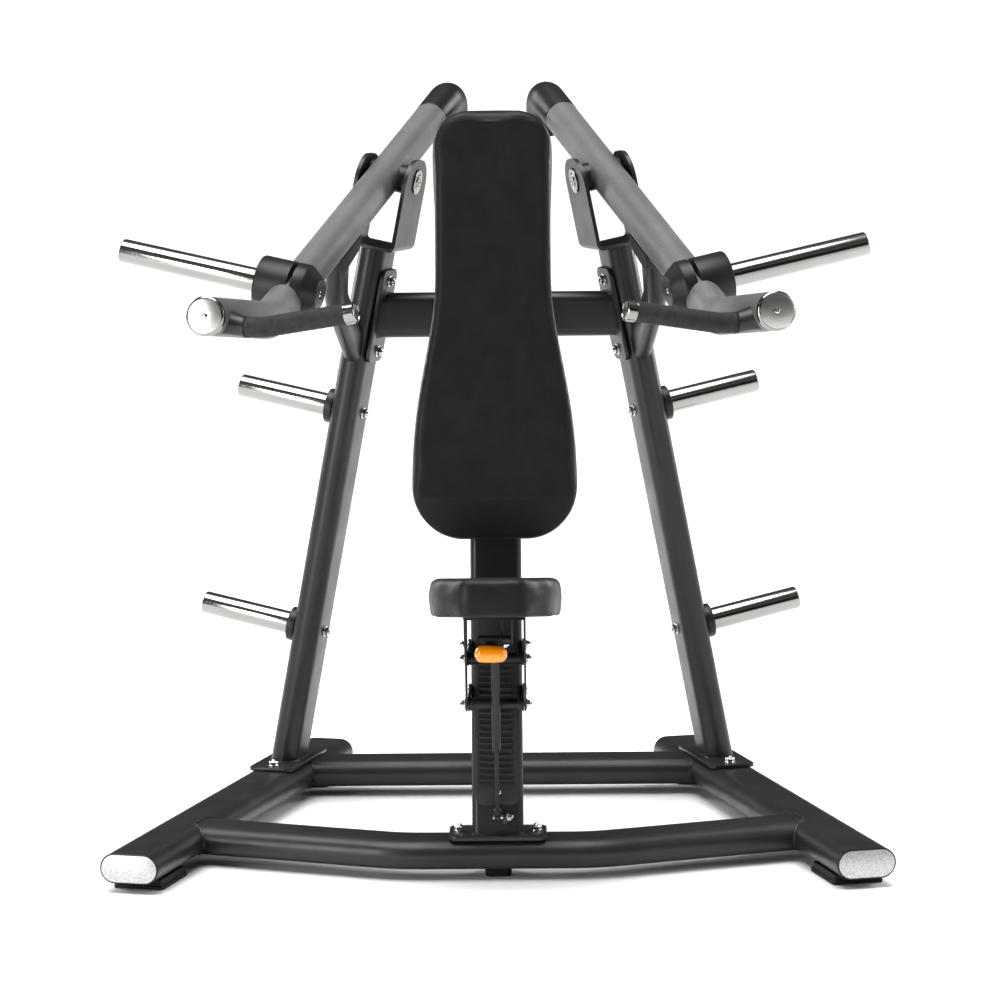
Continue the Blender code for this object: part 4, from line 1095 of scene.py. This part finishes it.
def rear_weight():
    start = ARM_REAR_S - GAP
    points = [(start, arm_t(start)), (WEIGHT_S, arm_t(WEIGHT_S)), (WEIGHT_S, WEIGHT_BOTTOM_T)]
    path = filleted([at(s, 0, t) for s, t in points], WEIGHT_BEND_R, 24)
    head = path[0] + (path[1] - path[0]).normalized() * 0.002
    foot_way = (path[-2] - path[-1]).normalized()
    path = [path[0], head] + path[1:-1] + [path[-1] + foot_way * 0.003, path[-1] + foot_way * 0.001, path[-1]]
    scales = [0.965, 1.0] + [1.0] * (len(path) - 4) + [0.975, 0.92]
    return sweep(path, circle(WEIGHT_R), OUTWARD, scales)


def horn_t():
    """Height of the plate horn's axis in the side plane."""
    return arm_t(CLAMP_S) + HORN_LIFT


def clamp():
    """Two clamp halves turned on the horn's axis, bored for the arm and parted by a wedge-shaped slot."""
    low, high = CLAMP_V
    base = at(CLAMP_S, low, horn_t())
    long = high - low
    profile = ((0.0, CLAMP_NOSE_R - 0.0035), (0.0012, CLAMP_NOSE_R - 0.0010), (0.0035, CLAMP_NOSE_R),
               (0.0260, CLAMP_R - 0.002), (0.0300, CLAMP_R), (long - 0.004, CLAMP_R),
               (long - 0.0012, CLAMP_R - 0.0012), (long, CLAMP_R - 0.004))
    body = lathe(base, OUTWARD, profile)
    centre = at(CLAMP_S, 0, arm_t(CLAMP_S))
    reach = arm_way() * 2 * CLAMP_R
    bore = rod(centre - reach, centre + reach, ARM_R + 0.0002)
    above = arm_way().cross(OUTWARD).normalized()
    slot = Matrix((
        (arm_way().x, OUTWARD.x, -above.x, centre.x),
        (arm_way().y, OUTWARD.y, -above.y, centre.y),
        (arm_way().z, OUTWARD.z, -above.z, centre.z),
        (0.0, 0.0, 0.0, 1.0)))
    wedge = prism([(-0.0052, -0.08), (0.0052, -0.08), (0.0012, 0.08), (-0.0012, 0.08)], -0.08, 0.08,
                  slot @ Matrix.Translation((0, -0.004, 0)) @ YZ)
    pocket = rod(base - OUTWARD * 0.002, base + OUTWARD * 0.0035, 0.0090)
    return cut(body, bore, wedge, pocket)


def clamp_bolt():
    return socket_bolt(at(CLAMP_S, CLAMP_V[0] + 0.0034, horn_t()), -OUTWARD, 0.0066, 0.0034, False)


def front_cap():
    """Turned cap: chromed rim with a broad bevel."""
    way = FORWARD * cos(FRONT_SLOPE) + ALONG * sin(FRONT_SLOPE)
    start = at(FRONT_S, 0, front_t(FRONT_S)) + way * GAP
    rim = lathe(start, way, ((0.0, ARM_R - 0.001), (0.0008, ARM_R + 0.0005), (0.0085, ARM_R + 0.0005),
                             (0.0095, ARM_R + 0.0001), (0.0115, ARM_R - 0.0022), (0.0118, ARM_R - 0.0034),
                             (0.0112, ARM_R - 0.0040)))
    dish = ((0.0, ARM_R - 0.0042), (0.0015, ARM_R - 0.0042), (0.0018, ARM_R - 0.0050), (0.0018, 0.0062),
            (0.0010, 0.0056))
    face = lathe(start + way * 0.0100, way, dish)
    screw = cut(lathe(start + way * 0.0108, way, ((0.0, 0.0050), (0.0012, 0.0050), (0.0018, 0.0040))),
                lathe(start + way * 0.0114, way, ((0.0, 0.0020), (0.003, 0.0020)), 6))
    return rim, face, screw


def grip_path():
    start = at(STUB_S, -STUB_REACH, front_t(STUB_S) - STUB_DROP)
    inward = -Vector((cos(SPLAY), sin(SPLAY), 0.0))
    bend = start + inward * GRIP_LEVEL
    rising = (inward * cos(GRIP_RISE) + UP * sin(GRIP_RISE)).normalized()
    return start, bend, bend + rising * (GRIP_LENGTH - GRIP_LEVEL), rising


def stub():
    """Fairing that flares from the grip's collar onto the arm's side."""
    start, bend = grip_path()[:2]
    way = (bend - start).normalized()
    root = at(STUB_S, 0.0, front_t(STUB_S) - STUB_DROP / 2)
    across = way.cross(UP).normalized()
    rise = across.cross(way)
    rings = []
    for i in range(9):
        share = i / 8
        swell = (1 - share) ** 2
        centre = root.lerp(start, share)
        wide = RING_R + 0.030 * swell
        tall = RING_R + 0.012 * swell
        rings.append([centre + across * (a * wide) + rise * (b * tall) for a, b in circle(1.0)])
    rings.append([start + way * 0.0006 + across * (a * GRIP_R) + rise * (b * GRIP_R) for a, b in circle(1.0)])
    return loft(rings)


def grip():
    """Rubber sleeve with soft moulded waves and a rolled collar at its outer end."""
    start, bend, end, rising = grip_path()
    path = filleted((start.lerp(bend, 0.02), bend, end), 0.08, 8)
    fine = [path[0]]
    for point in path[1:]:
        steps = max(1, int((point - fine[-1]).length / 0.004))
        begin = fine[-1]
        for i in range(1, steps + 1):
            fine.append(begin.lerp(point, i / steps))
    scales = []
    run = 0.0
    for i, point in enumerate(fine):
        run += (point - fine[i - 1]).length if i else 0.0
        collar = 0.055 * max(0.0, 1 - abs(run - 0.003) / 0.004)
        scales.append(1.0 + 0.008 * sin(run * 2 * pi / 0.016) + collar)
    scales[0] = 0.96
    return sweep(fine, circle(GRIP_R), rising.cross(bend - start), scales)


def grip_ring():
    end, rising = grip_path()[2:]
    profile = ((0.0, RING_R - 0.0006), (0.0008, RING_R), (RING_LENGTH - 0.0020, RING_R),
               (RING_LENGTH, RING_R - 0.0015), (RING_LENGTH + 0.0010, RING_R - 0.0034),
               (RING_LENGTH - 0.0012, RING_R - 0.0044))
    return lathe(end - rising * 0.001, rising, profile)


def grip_plug():
    end, rising = grip_path()[2:]
    profile = ((0.0, RING_R - 0.0046), (0.0014, RING_R - 0.0046), (0.0018, RING_R - 0.0060), (0.0018, 0.0048),
               (0.0008, 0.0040))
    return lathe(end + rising * (RING_LENGTH - 0.0030), rising, profile)


def build_arms():
    show_pair("arm_tube_painted", arm_tube(), "arm", "arm", ["arm_tube"])
    show_pair("pivot_sleeve", housing(), "satin", "arm", ["pivot_housing"])
    show_pair("rear_weight_casting", rear_weight(), "satin", "arm", ["rear_weight"])
    show_pair("horn_clamp_body", clamp(), "satin", "arm", ["horn_clamp"], edge=0.0008, sharp=40)
    show_pair("clamp_bolt", clamp_bolt(), "zinc", "arm")
    height = horn_t()
    sleeve = horn(CLAMP_S, height, CLAMP_V[1] - 0.001, ARM_HORN_END)
    show_pair("arm_horn_sleeve", sleeve, "chrome", "arm", ["arm_horn"])
    show_pair("arm_horn_plug", horn_plug(CLAMP_S, height, ARM_HORN_END), "satin", "arm")
    rim, face, screw = front_cap()
    show_pair("arm_cap_rim", rim, "chrome", "arm", ["arm_cap"])
    show_pair("arm_cap_face", face, "disc", "arm")
    show_pair("arm_cap_screw", screw, "zinc", "arm")
    # the fairing wears the arm grey darkened with a painted shade
    show_pair("handle_fairing", stub(), "stub", "arm", ["handle_stub"])
    show_pair("grip_sleeve", grip(), "grip", "arm", ["hand_grip"])
    show_pair("grip_ring", grip_ring(), "chrome", "arm")
    show_pair("grip_plug", grip_plug(), "satin", "arm")


# ---------------------------------------------------------------- column and its guard
def column_tube():
    body = prism(rounded(COLUMN_W, COLUMN_D, COLUMN_R), -0.03, along_column(COLUMN_TOP), column_frame())
    return trim(body, (0, 0, plate_top() + GAP), (0, 0, -1))


def column_pins():
    """Pins of both links through the column, with their retaining heads."""
    solids = []
    for z in LINK_Z:
        y = column_y(z)
        solids.append(rod((-LINK_PLATE[1], y, z), (LINK_PLATE[1], y, z), REAR_PIN_R))
        for side in (-1, 1):
            face = Vector((side * (LINK_PLATE[1] + 0.0004), y, z))
            solids.append(socket_bolt(face, (side, 0, 0), 0.0100, 0.0050, True))
    return together(*solids)


def gas_lug():
    y, z = GAS_FOOT
    low = (FOOT_LUG[0], y - 0.8 * EYE_R, z - 1.1 * EYE_R)
    return block(low, (FOOT_LUG[1], column_y(z), z + EYE_R / 2), edge=0.001)


def gas_lug_bolt():
    y, z = GAS_FOOT
    pin = rod((-0.009, y, z), (0.013, y, z), EYE_PIN_R)
    return together(pin, hex_bolt((0.0186, y, z), (1, 0, 0), 0.0062, 0.006, 0.0036))


def column_face():
    """Frame on the column's front face: x across, y up the column, z out of the face."""
    return column_frame(-COLUMN_D / 2 - GAP) @ Matrix.Rotation(pi / 2, 4, "X")


def guard():
    """Slotted cover on the column's face: a ladder of round-ended slots."""
    low, high = (along_column(z) for z in GUARD_Z)
    turn = column_face()
    outline = [(x, y + (low + high) / 2) for x, y in rounded(GUARD_W, high - low, 0.020)]
    plate = prism(outline, 0.0, GUARD_T, turn, 0.0007)
    for i in range(SLOT_COUNT):
        centre = along_column(SLOT_LOW_Z) + i * SLOT_PITCH
        slot = [(x + SLOT_X, y + centre) for x, y in rounded(0.066, 0.0062, 0.0030, 5)]
        plate = cut(plate, prism(slot, 0.0006, 0.02, turn))
    return plate


def guard_ribs():
    """Rolled lips along the slots, with a drop-shaped end."""
    turn = column_face()
    solids = []
    for i in range(SLOT_COUNT):
        centre = along_column(SLOT_LOW_Z) + i * SLOT_PITCH + LIP_ABOVE
        lip = [(x + SLOT_X, y + centre) for x, y in rounded(0.064, 0.0040, 0.0019, 4)]
        solids.append(prism(lip, GUARD_T - 0.0006, GUARD_T + 0.0020, turn, 0.0012))
    return together(*solids)


def guard_screws():
    turn = column_face()
    way = (turn.to_3x3() @ Vector((0, 0, 1))).normalized()
    solids = [socket_bolt(turn @ Vector((0.002, along_column(0.165), GUARD_T)), way, 0.0055, 0.003, False)]
    for i in range(SLOT_COUNT):
        place = turn @ Vector((0.0290, along_column(SLOT_LOW_Z) + i * SLOT_PITCH, 0.0013))
        solids.append(lathe(place, way, ((0.0, 0.0011), (0.0010, 0.0011), (0.0015, 0.0006)), 12))
    return together(*solids)


def column_bolts():
    top = plate_top()
    return together(*[hex_bolt((x, FRONT_BAR_Y, top), UP, 0.0085, 0.0080) for x in (-0.076, 0.076)])


def column_plate():
    width, depth, thick = BASE_PLATE
    low = base_top() + GAP
    place = Matrix.Translation((0, FRONT_BAR_Y, 0))
    return prism(rounded(width, depth, 0.016), low, low + thick, place, 0.0016)


def strut():
    centre = beam_centre()
    y_low = column_y(centre.z) - COLUMN_D / 2
    y_high = centre.y - BEAM_D / 2 - GAP
    section = rounded(STRUT_SIDE, STRUT_SIDE, STRUT_CORNER)
    bar = sweep(((0, y_low, centre.z), (0, y_high, centre.z)), section, UP)
    face = column_frame(COLUMN_D / 2 + GAP)
    return trim(bar, face.translation, -face.col[1].xyz)


def column_welds():
    frame_here = column_frame()
    way = frame_here.col[2].xyz.normalized()
    top = plate_top()
    ring = []
    for a, b in rounded(COLUMN_W, COLUMN_D, COLUMN_R):
        start = frame_here @ Vector((a, b, 0.0))
        ring.append(start + way * ((top - start.z) / way.z))
    centre = beam_centre()
    section = rounded(STRUT_SIDE, STRUT_SIDE, STRUT_CORNER)
    back = [Vector((a, centre.y - BEAM_D / 2, centre.z + b)) for a, b in section]
    face = column_frame(COLUMN_D / 2)
    normal = face.col[1].xyz.normalized()
    front = []
    for a, b in section:
        start = Vector((a, 0.0, centre.z + b))
        front.append(start + Vector((0, 1, 0)) * ((face.translation - start).dot(normal) / normal.y))
    return together(bead(ring, 0.0026), bead(back, 0.0024), bead(front, 0.0024))


def build_column():
    show("seat_column_tube", column_tube(), "frame", "frame", ["seat_column"])
    show("seat_column_pins", column_pins(), "zinc", "frame")
    show("gas_lug", gas_lug(), "frame", "frame")
    show("gas_lug_bolt", gas_lug_bolt(), "zinc", "frame")
    show("column_plate_steel", column_plate(), "frame", "frame", ["column_plate"])
    show("column_bolts", column_bolts(), "zinc", "frame")
    show("column_guard_cover", guard(), "plastic", "frame", ["column_guard"])
    show("column_guard_lips", guard_ribs(), "plastic", "frame")
    show("column_guard_screws", guard_screws(), "zinc", "frame")
    show("back_strut_tube", strut(), "frame", "frame", ["back_strut"])
    show("column_welds", column_welds(), "frame", "frame")


# ---------------------------------------------------------------- upholstery
def pad_half(z):
    low, high = PAD_TAPER_Z
    share = min(1.0, max(0.0, (z - low) / (high - low)))
    return PAD_WIDE - (PAD_WIDE - PAD_NARROW) * share * share * (3 - 2 * share)


def pad_outline(inset=0.0):
    """Closed outline (x, distance up the column) of the back pad."""
    right = []
    wide, tall = PAD_LOW_CORNER
    for i in range(1, 15):
        angle = i / 14 * pi / 2
        right.append((PAD_WIDE - wide + wide * sin(angle), PAD_Z[0] + tall - tall * cos(angle)))
    for i in range(1, 21):
        z = PAD_TAPER_Z[0] + (PAD_TAPER_Z[1] - PAD_TAPER_Z[0]) * i / 20
        right.append((pad_half(z), z))
    for i in range(1, 12):
        z = PAD_TAPER_Z[1] + (PAD_Z[1] - PAD_HIGH_CORNER[1] - PAD_TAPER_Z[1]) * i / 11
        right.append((PAD_NARROW, z))
    wide, tall = PAD_HIGH_CORNER
    for i in range(1, 12):
        angle = i / 12 * pi / 2
        right.append((PAD_NARROW - wide + wide * cos(angle), PAD_Z[1] - tall + tall * sin(angle)))
    right = [(x, along_column(z)) for x, z in right]
    return shrink(right + [(-x, w) for x, w in reversed(right)], inset)


def round_corners(points, steps=12):
    """Counter-clockwise outline (x, y, radius) with an arc at each corner."""
    result = []
    for i, (x, y, radius) in enumerate(points):
        corner = Vector((x, y))
        back = (Vector(points[i - 1][:2]) - corner).normalized()
        ahead = (Vector(points[(i + 1) % len(points)][:2]) - corner).normalized()
        half = back.angle(ahead) / 2
        centre = corner + (back + ahead).normalized() * radius / sin(half)
        start = corner + back * radius / tan(half) - centre
        for j in range(steps + 1):
            angle = (pi - 2 * half) * j / steps
            result.append((centre.x + start.x * cos(angle) - start.y * sin(angle),
                           centre.y + start.x * sin(angle) + start.y * cos(angle)))
    return result


def seat_outline(inset=0.0):
    right = list(SEAT_CORNERS)
    left = [(-x, y, radius) for x, y, radius in reversed(right)]
    return shrink(round_corners(right + left), inset)


def cushion_layers(thick):
    """(depth, inset) stations from the mounting face to the front face."""
    back_rounding, rounding = CUSHION_ROUNDS
    layers = []
    for i in range(5):
        angle = i / 4 * pi / 2
        layers.append((back_rounding * (1 - cos(angle)), back_rounding * (1 - sin(angle))))
    for i in range(7):
        angle = i / 6 * pi / 2
        layers.append((thick - rounding + rounding * sin(angle), rounding * (1 - cos(angle))))
    return layers


def crease_normal():
    angle = PAD_CREASE_SLOPE - COLUMN_LEAN
    return Vector((0.0, -cos(angle), -sin(angle)))


def pad_back_y():
    return -COLUMN_D / 2 - BOARD_T - 2 * GAP


def back_cushion(shrinkage):
    rings = []
    frame_here = column_frame(pad_back_y())
    for depth, inset in cushion_layers(PAD_T - shrinkage):
        rings.append([frame_here @ Vector((x, -depth, w)) for x, w in pad_outline(inset + shrinkage)])
    body = loft(rings)
    corner = column_frame(pad_back_y() - PAD_T) @ Vector((0, 0, along_column(PAD_CREASE_Z)))
    return trim(body, corner - crease_normal() * shrinkage, crease_normal())


def seat_cushion(shrinkage):
    rings = []
    frame_here = seat_frame(SEAT_T)
    for depth, inset in cushion_layers(SEAT_T - shrinkage):
        rings.append([frame_here @ Vector((x, y, depth)) for x, y in seat_outline(inset + shrinkage)])
    return loft(rings)


def inflate(item, voxel, cap, pressure=4.0, frames=20):
    """Fill the cushion by cloth simulation and even out its moves; no point moves further than cap."""
    remesh = item.modifiers.new("even mesh", "REMESH")
    remesh.mode = "VOXEL"
    remesh.voxel_size = voxel
    apply_modifiers(item)
    rest = [vert.co.copy() for vert in item.data.vertices]
    cloth = item.modifiers.new("filling", "CLOTH")
    cloth.settings.quality = 6
    cloth.settings.mass = 0.35
    cloth.settings.tension_stiffness = 40.0
    cloth.settings.compression_stiffness = 40.0
    cloth.settings.bending_stiffness = 8.0
    cloth.settings.use_pressure = True
    cloth.settings.uniform_pressure_force = pressure
    cloth.settings.effector_weights.gravity = 0.0
    cloth.point_cache.frame_start = 1
    cloth.point_cache.frame_end = frames
    for step in range(1, frames + 1):
        bpy.context.scene.frame_set(step)
    apply_modifiers(item)
    bpy.context.scene.frame_set(1)
    for vert, start, move in zip(item.data.vertices, rest, even_moves(item.data, rest)):
        if move.length > cap:
            move = move.normalized() * cap
        vert.co = start + move


def even_moves(mesh, rest, rounds=24):
    """How far each point has moved from rest, evened out over its neighbours so that the cover lies tight."""
    moves = [vert.co - start for vert, start in zip(mesh.vertices, rest)]
    near = [[] for _ in moves]
    for edge in mesh.edges:
        one, two = edge.vertices
        near[one].append(two)
        near[two].append(one)
    for _ in range(rounds):
        moves = [(move + sum((moves[i] for i in others), Vector())) / (1 + len(others))
                 for move, others in zip(moves, near)]
    return moves


def apply_modifiers(item):
    graph = bpy.context.evaluated_depsgraph_get()
    mesh = bpy.data.meshes.new_from_object(item.evaluated_get(graph))
    item.modifiers.clear()
    old = item.data
    item.data = mesh
    bpy.data.meshes.remove(old)


def subdivide(item):
    item.modifiers.new("smooth cover", "SUBSURF").levels = 1
    apply_modifiers(item)


def sew(item, seams, depth, width):
    """Press each seam, a list of points, into the cover."""
    count = sum(len(seam) for seam in seams)
    tree = KDTree(count)
    index = 0
    for seam in seams:
        for point in seam:
            tree.insert(point, index)
            index += 1
    tree.balance()
    normals = [vert.normal.copy() for vert in item.data.vertices]
    for vert, normal in zip(item.data.vertices, normals):
        distance = tree.find(vert.co)[2]
        if distance < 4 * width:
            vert.co -= normal * depth * 2.718 ** (-(distance / width) ** 2)


def dense(points, step=0.0015, closed=True):
    """The same line with points close together."""
    result = []
    ends = zip(points, points[1:] + points[:1]) if closed else zip(points, points[1:])
    for start, end in ends:
        count = max(1, int((end - start).length / step))
        result += [start.lerp(end, i / count) for i in range(count)]
    return result


def cushion(name, bm, body, node, voxel, cap, flatten, seams):
    item = bpy.data.objects.new(name, bpy.data.meshes.new(name))
    bm.transform(SHIFT)
    bm.to_mesh(item.data)
    bm.free()
    bpy.context.scene.collection.objects.link(item)
    inflate(item, voxel, cap)
    for vert in item.data.vertices:
        vert.co = flatten(vert.co)
    subdivide(item)
    sew(item, seams, 0.0017, 0.0022)
    item.data.materials.clear()
    item.data.materials.append(look("leather"))
    item.data.shade_smooth()
    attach(item, body)
    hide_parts(node)
    return item


def seam_stations(thick):
    """(depth, inset) of a cushion's two seams."""
    return (thick - 0.012, 0.0006), (0.008, 0.0004)


def keep_plane(place, limit_low, limit_high, axis):
    """Mover that holds a cushion between its mounting plane and its crowned face."""
    back = place.inverted()

    def mover(point):
        local = back @ point
        local[axis] = min(limit_high, max(limit_low, local[axis]))
        return place @ local
    return mover


def build_upholstery():
    place = SHIFT @ column_frame(pad_back_y())
    seams = []
    for depth, inset in seam_stations(PAD_T):
        seams.append(dense([place @ Vector((x, -depth, w)) for x, w in pad_outline(inset)]))
    cushion("back_cushion", back_cushion(FILL_ROOM), "frame", "back_pad", 0.005, FILL_CAP,
            keep_plane(place, -PAD_T - CROWN, 0.0, 1), seams)
    panel = prism(pad_outline(BOARD_INSET), 0.0, BOARD_T, column_face(), 0.0012)
    show("pad_board_panel", panel, "board", "frame", ["pad_board"])
    place = SHIFT @ seat_frame(SEAT_T)
    seams = []
    for depth, inset in seam_stations(SEAT_T):
        seams.append(dense([place @ Vector((x, y, depth)) for x, y in seat_outline(inset)]))
    cushion("seat_cushion", seat_cushion(FILL_ROOM), "seat_carriage", "seat_pad", 0.0045, FILL_CAP,
            keep_plane(place, 0.0, SEAT_T + CROWN, 2), seams)


# ---------------------------------------------------------------- seat linkage
def pivots(index):
    z = LINK_Z[index]
    rear = (column_y(z), z)
    return rear, (rear[0] - LINK, z)


def link_piece(index):
    """Parallel link: two flat bars on a cross tube with end collars."""
    rear, front = pivots(index)
    solids = []
    for side in (-1, 1):
        outline = []
        for centre, first in ((rear, -pi / 2), (front, pi / 2)):
            for i in range(17):
                angle = first + pi * i / 16
                outline.append((centre[0] + LINK_HALF * cos(angle), centre[1] + LINK_HALF * sin(angle)))
        low, high = sorted(side * x for x in LINK_PLATE)
        solids.append(prism(outline, low, high, YZ, 0.0007))
        collar = side * (LINK_PLATE[0] - LINK_COLLAR)
        ends = sorted((collar, side * LINK_PLATE[0]))
        solids.append(rod((ends[0], *front), (ends[1], *front), LINK_COLLAR_R, 0.0008, 40))
    reach = LINK_PLATE[0]
    solids.append(rod((-reach, *front), (reach, *front), LINK_TUBE_R, 0.0, 48))
    return together(*solids)


def seat_bolts():
    """Bolts on the outer faces of the hanging side plates."""
    solids = []
    for side in (-1, 1):
        face = side * SIDE_PLATE[1]
        for index in (0, 1):
            solids.append(hex_bolt((face, *pivots(index)[1]), (side, 0, 0), 0.0070, 0.0055, 0.0040))
        solids.append(hex_bolt((face, pivots(1)[1][0] - 0.010, 0.480), (side, 0, 0), 0.0052, 0.0045, 0.0030))
    return together(*solids)


def gas_way():
    way = Vector((0, GAS_HEAD[0] - GAS_FOOT[0], GAS_HEAD[1] - GAS_FOOT[1]))
    return way.normalized(), way.length


def gas_cylinder():
    way = gas_way()[0]
    start = Vector((0, *GAS_HEAD)) + way * 0.004
    long = GAS_MOUTH + 0.004
    profile = ((0.0, 0.0042), (0.0010, 0.0056), (0.0060, 0.0058), (0.0085, GAS_R - 0.0008), (0.0105, GAS_R),
               (long - 0.0060, GAS_R), (long - 0.0020, GAS_R - 0.0012), (long, 0.0062),
               (long - 0.0010, ROD_R + GAP))
    return lathe(start, -way, profile)


def gas_rod():
    way, length = gas_way()
    foot_point = Vector((0, *GAS_FOOT))
    shank = rod(foot_point + way * 0.012, foot_point + way * (length - GAS_MOUTH + ROD_SOCKET), ROD_R)
    profile = ((0.0, 0.0070), (0.0012, 0.0076), (0.0100, 0.0076), (0.0120, 0.0066), (0.0140, ROD_R))
    collar = lathe(foot_point + way * 0.006, way, profile)
    eye = rod((-0.006, *GAS_FOOT), (0.006, *GAS_FOOT), 0.0105, 0.001)
    return together(shank, collar, eye)


def gas_top_eye():
    y, z = GAS_HEAD
    return hex_bolt((0.0166, y, z), (1, 0, 0), 0.0055, 0.005, 0.0034)


def lever_arm():
    """Hinge tube and flat arm of the release lever."""
    y, z = LEVER_AXIS
    reach, radius = LEVER_TUBE
    tube = rod((-reach, y, z), (reach, y, z), radius, 0.0008, 40)
    way = Vector((0, KNOB_POINT[0] - y, KNOB_POINT[1] - z))
    turn = Matrix.Translation((0, y, z)) @ Matrix.Rotation(atan2(-way.y, -way.z), 4, "X").inverted()
    wide, thick = LEVER_ARM
    low = (KNOB_X - wide, -thick, -hypot(way.y, way.z))
    arm = block(low, (KNOB_X + wide, thick, -0.002), turn, 0.0008)
    return together(tube, arm)


def knob():
    """Rounded capsule knob with a raised shoulder towards its left end."""
    bm = bmesh.new()
    bmesh.ops.create_uvsphere(bm, u_segments=48, v_segments=32, radius=1.0)
    core = KNOB_HALF - KNOB_R
    for vert in bm.verts:
        unit = vert.co.copy()
        x = unit.x * KNOB_R + core * max(-1.0, min(1.0, unit.x * 2.4))
        lift = 0.0022 * max(0.0, unit.z) * (0.5 - 0.5 * max(-1.0, min(1.0, (x + 0.004) / 0.012)))
        y = KNOB_POINT[0] + unit.y * KNOB_R * 0.92
        vert.co = Vector((KNOB_X + x, y, KNOB_POINT[1] + unit.z * KNOB_R + lift))
    return outward_faces(bm)


def build_seat():
    refine("seat_carriage", "satin", "seat_carriage", 0.0006, 30)
    show("lower_link_bars", link_piece(0), "satin", "lower_link", ["lower_link"])
    show("upper_link_bars", link_piece(1), "satin", "upper_link", ["upper_link"])
    show("seat_plate_bolts", seat_bolts(), "zinc", "seat_carriage")
    show("gas_spring_body", gas_cylinder(), "satin", "gas_cylinder", ["gas_cylinder"])
    show("gas_spring_rod", gas_rod(), "satin", "gas_rod", ["gas_rod"])
    show("gas_head_bolt", gas_top_eye(), "zinc", "seat_carriage")
    show("release_lever_arm", lever_arm(), "satin", "release_lever", ["release_lever"])
    show("release_knob", knob(), "orange", "release_lever")


# ---------------------------------------------------------------- floor and light
def build_floor():
    bm = bmesh.new()
    bmesh.ops.create_grid(bm, x_segments=2, y_segments=2, size=30.0)
    mesh = bpy.data.meshes.new("floor")
    bm.to_mesh(mesh)
    bm.free()
    floor = bpy.data.objects.new("floor", mesh)
    bpy.context.scene.collection.objects.link(floor)
    made, tree, shader = new_material("pale_floor")
    tint = ramp(tree, noise(tree, 0.8, 3.0), ((0.3, (0.90, 0.90, 0.90)), (0.7, (0.91, 0.91, 0.91))))
    tree.links.new(tint, shader.inputs["Base Color"])
    shader.inputs["Roughness"].default_value = 0.65
    mesh.materials.append(made)


def area_light(name, place, target, size, power, tall=None):
    data = bpy.data.lights.new(name, "AREA")
    data.shape = "RECTANGLE"
    data.size = size
    data.size_y = tall or size
    data.energy = power
    lamp = bpy.data.objects.new(name, data)
    lamp.location = place
    lamp.rotation_euler = (Vector(target) - Vector(place)).to_track_quat("-Z", "Y").to_euler()
    bpy.context.scene.collection.objects.link(lamp)


def build_light():
    world = bpy.data.worlds.new("studio")
    bpy.context.scene.world = world
    world.use_nodes = True
    tree = world.node_tree
    tree.nodes.clear()
    coords = tree.nodes.new("ShaderNodeTexCoord")
    split = tree.nodes.new("ShaderNodeSeparateXYZ")
    tree.links.new(coords.outputs["Generated"], split.inputs["Vector"])
    height = spread(tree, split.outputs["Z"], 0.0, 1.0, -0.2, 1.0)
    bands = ((0.0, 0.16), (0.16, 0.20), (0.24, 0.03), (0.50, 0.04), (0.62, 0.26), (0.76, 0.05), (0.90, 0.34))
    sky = ramp(tree, height, [(spot, (grey,) * 3) for spot, grey in bands])
    paths = tree.nodes.new("ShaderNodeLightPath")
    mix = tree.nodes.new("ShaderNodeMix")
    mix.data_type = "RGBA"
    tree.links.new(paths.outputs["Is Camera Ray"], mix.inputs["Factor"])
    tree.links.new(sky, mix.inputs["A"])
    mix.inputs["B"].default_value = (1.0, 1.0, 1.0, 1.0)
    background = tree.nodes.new("ShaderNodeBackground")
    output = tree.nodes.new("ShaderNodeOutputWorld")
    tree.links.new(mix.outputs["Result"], background.inputs["Color"])
    tree.links.new(background.outputs["Background"], output.inputs["Surface"])
    area_light("key", (-3.8, -4.0, 1.5), (0, 0, 0.7), 0.9, 100.0, 2.6)
    area_light("fill", (4.4, -1.4, 2.2), (0, 0, 0.8), 0.9, 34.0, 2.2)
    area_light("rim_left", (-3.2, 2.4, 2.2), (0, 0, 0.9), 1.2, 90.0, 2.4)
    area_light("rim_right", (3.2, 2.4, 2.2), (0, 0, 0.9), 1.2, 90.0, 2.4)
    overhead = bpy.data.lights.new("overhead", "SUN")
    overhead.energy = 3.5
    overhead.angle = radians(50.0)
    lamp = bpy.data.objects.new("overhead", overhead)
    lamp.rotation_euler = (radians(8.0), radians(-6.0), 0.0)
    bpy.context.scene.collection.objects.link(lamp)
    bpy.context.scene.view_settings.view_transform = "Standard"
    bpy.context.scene.view_settings.look = "Medium High Contrast"


build_base()
build_uprights()
build_arms()
build_column()
build_upholstery()
build_seat()
build_floor()
build_light()
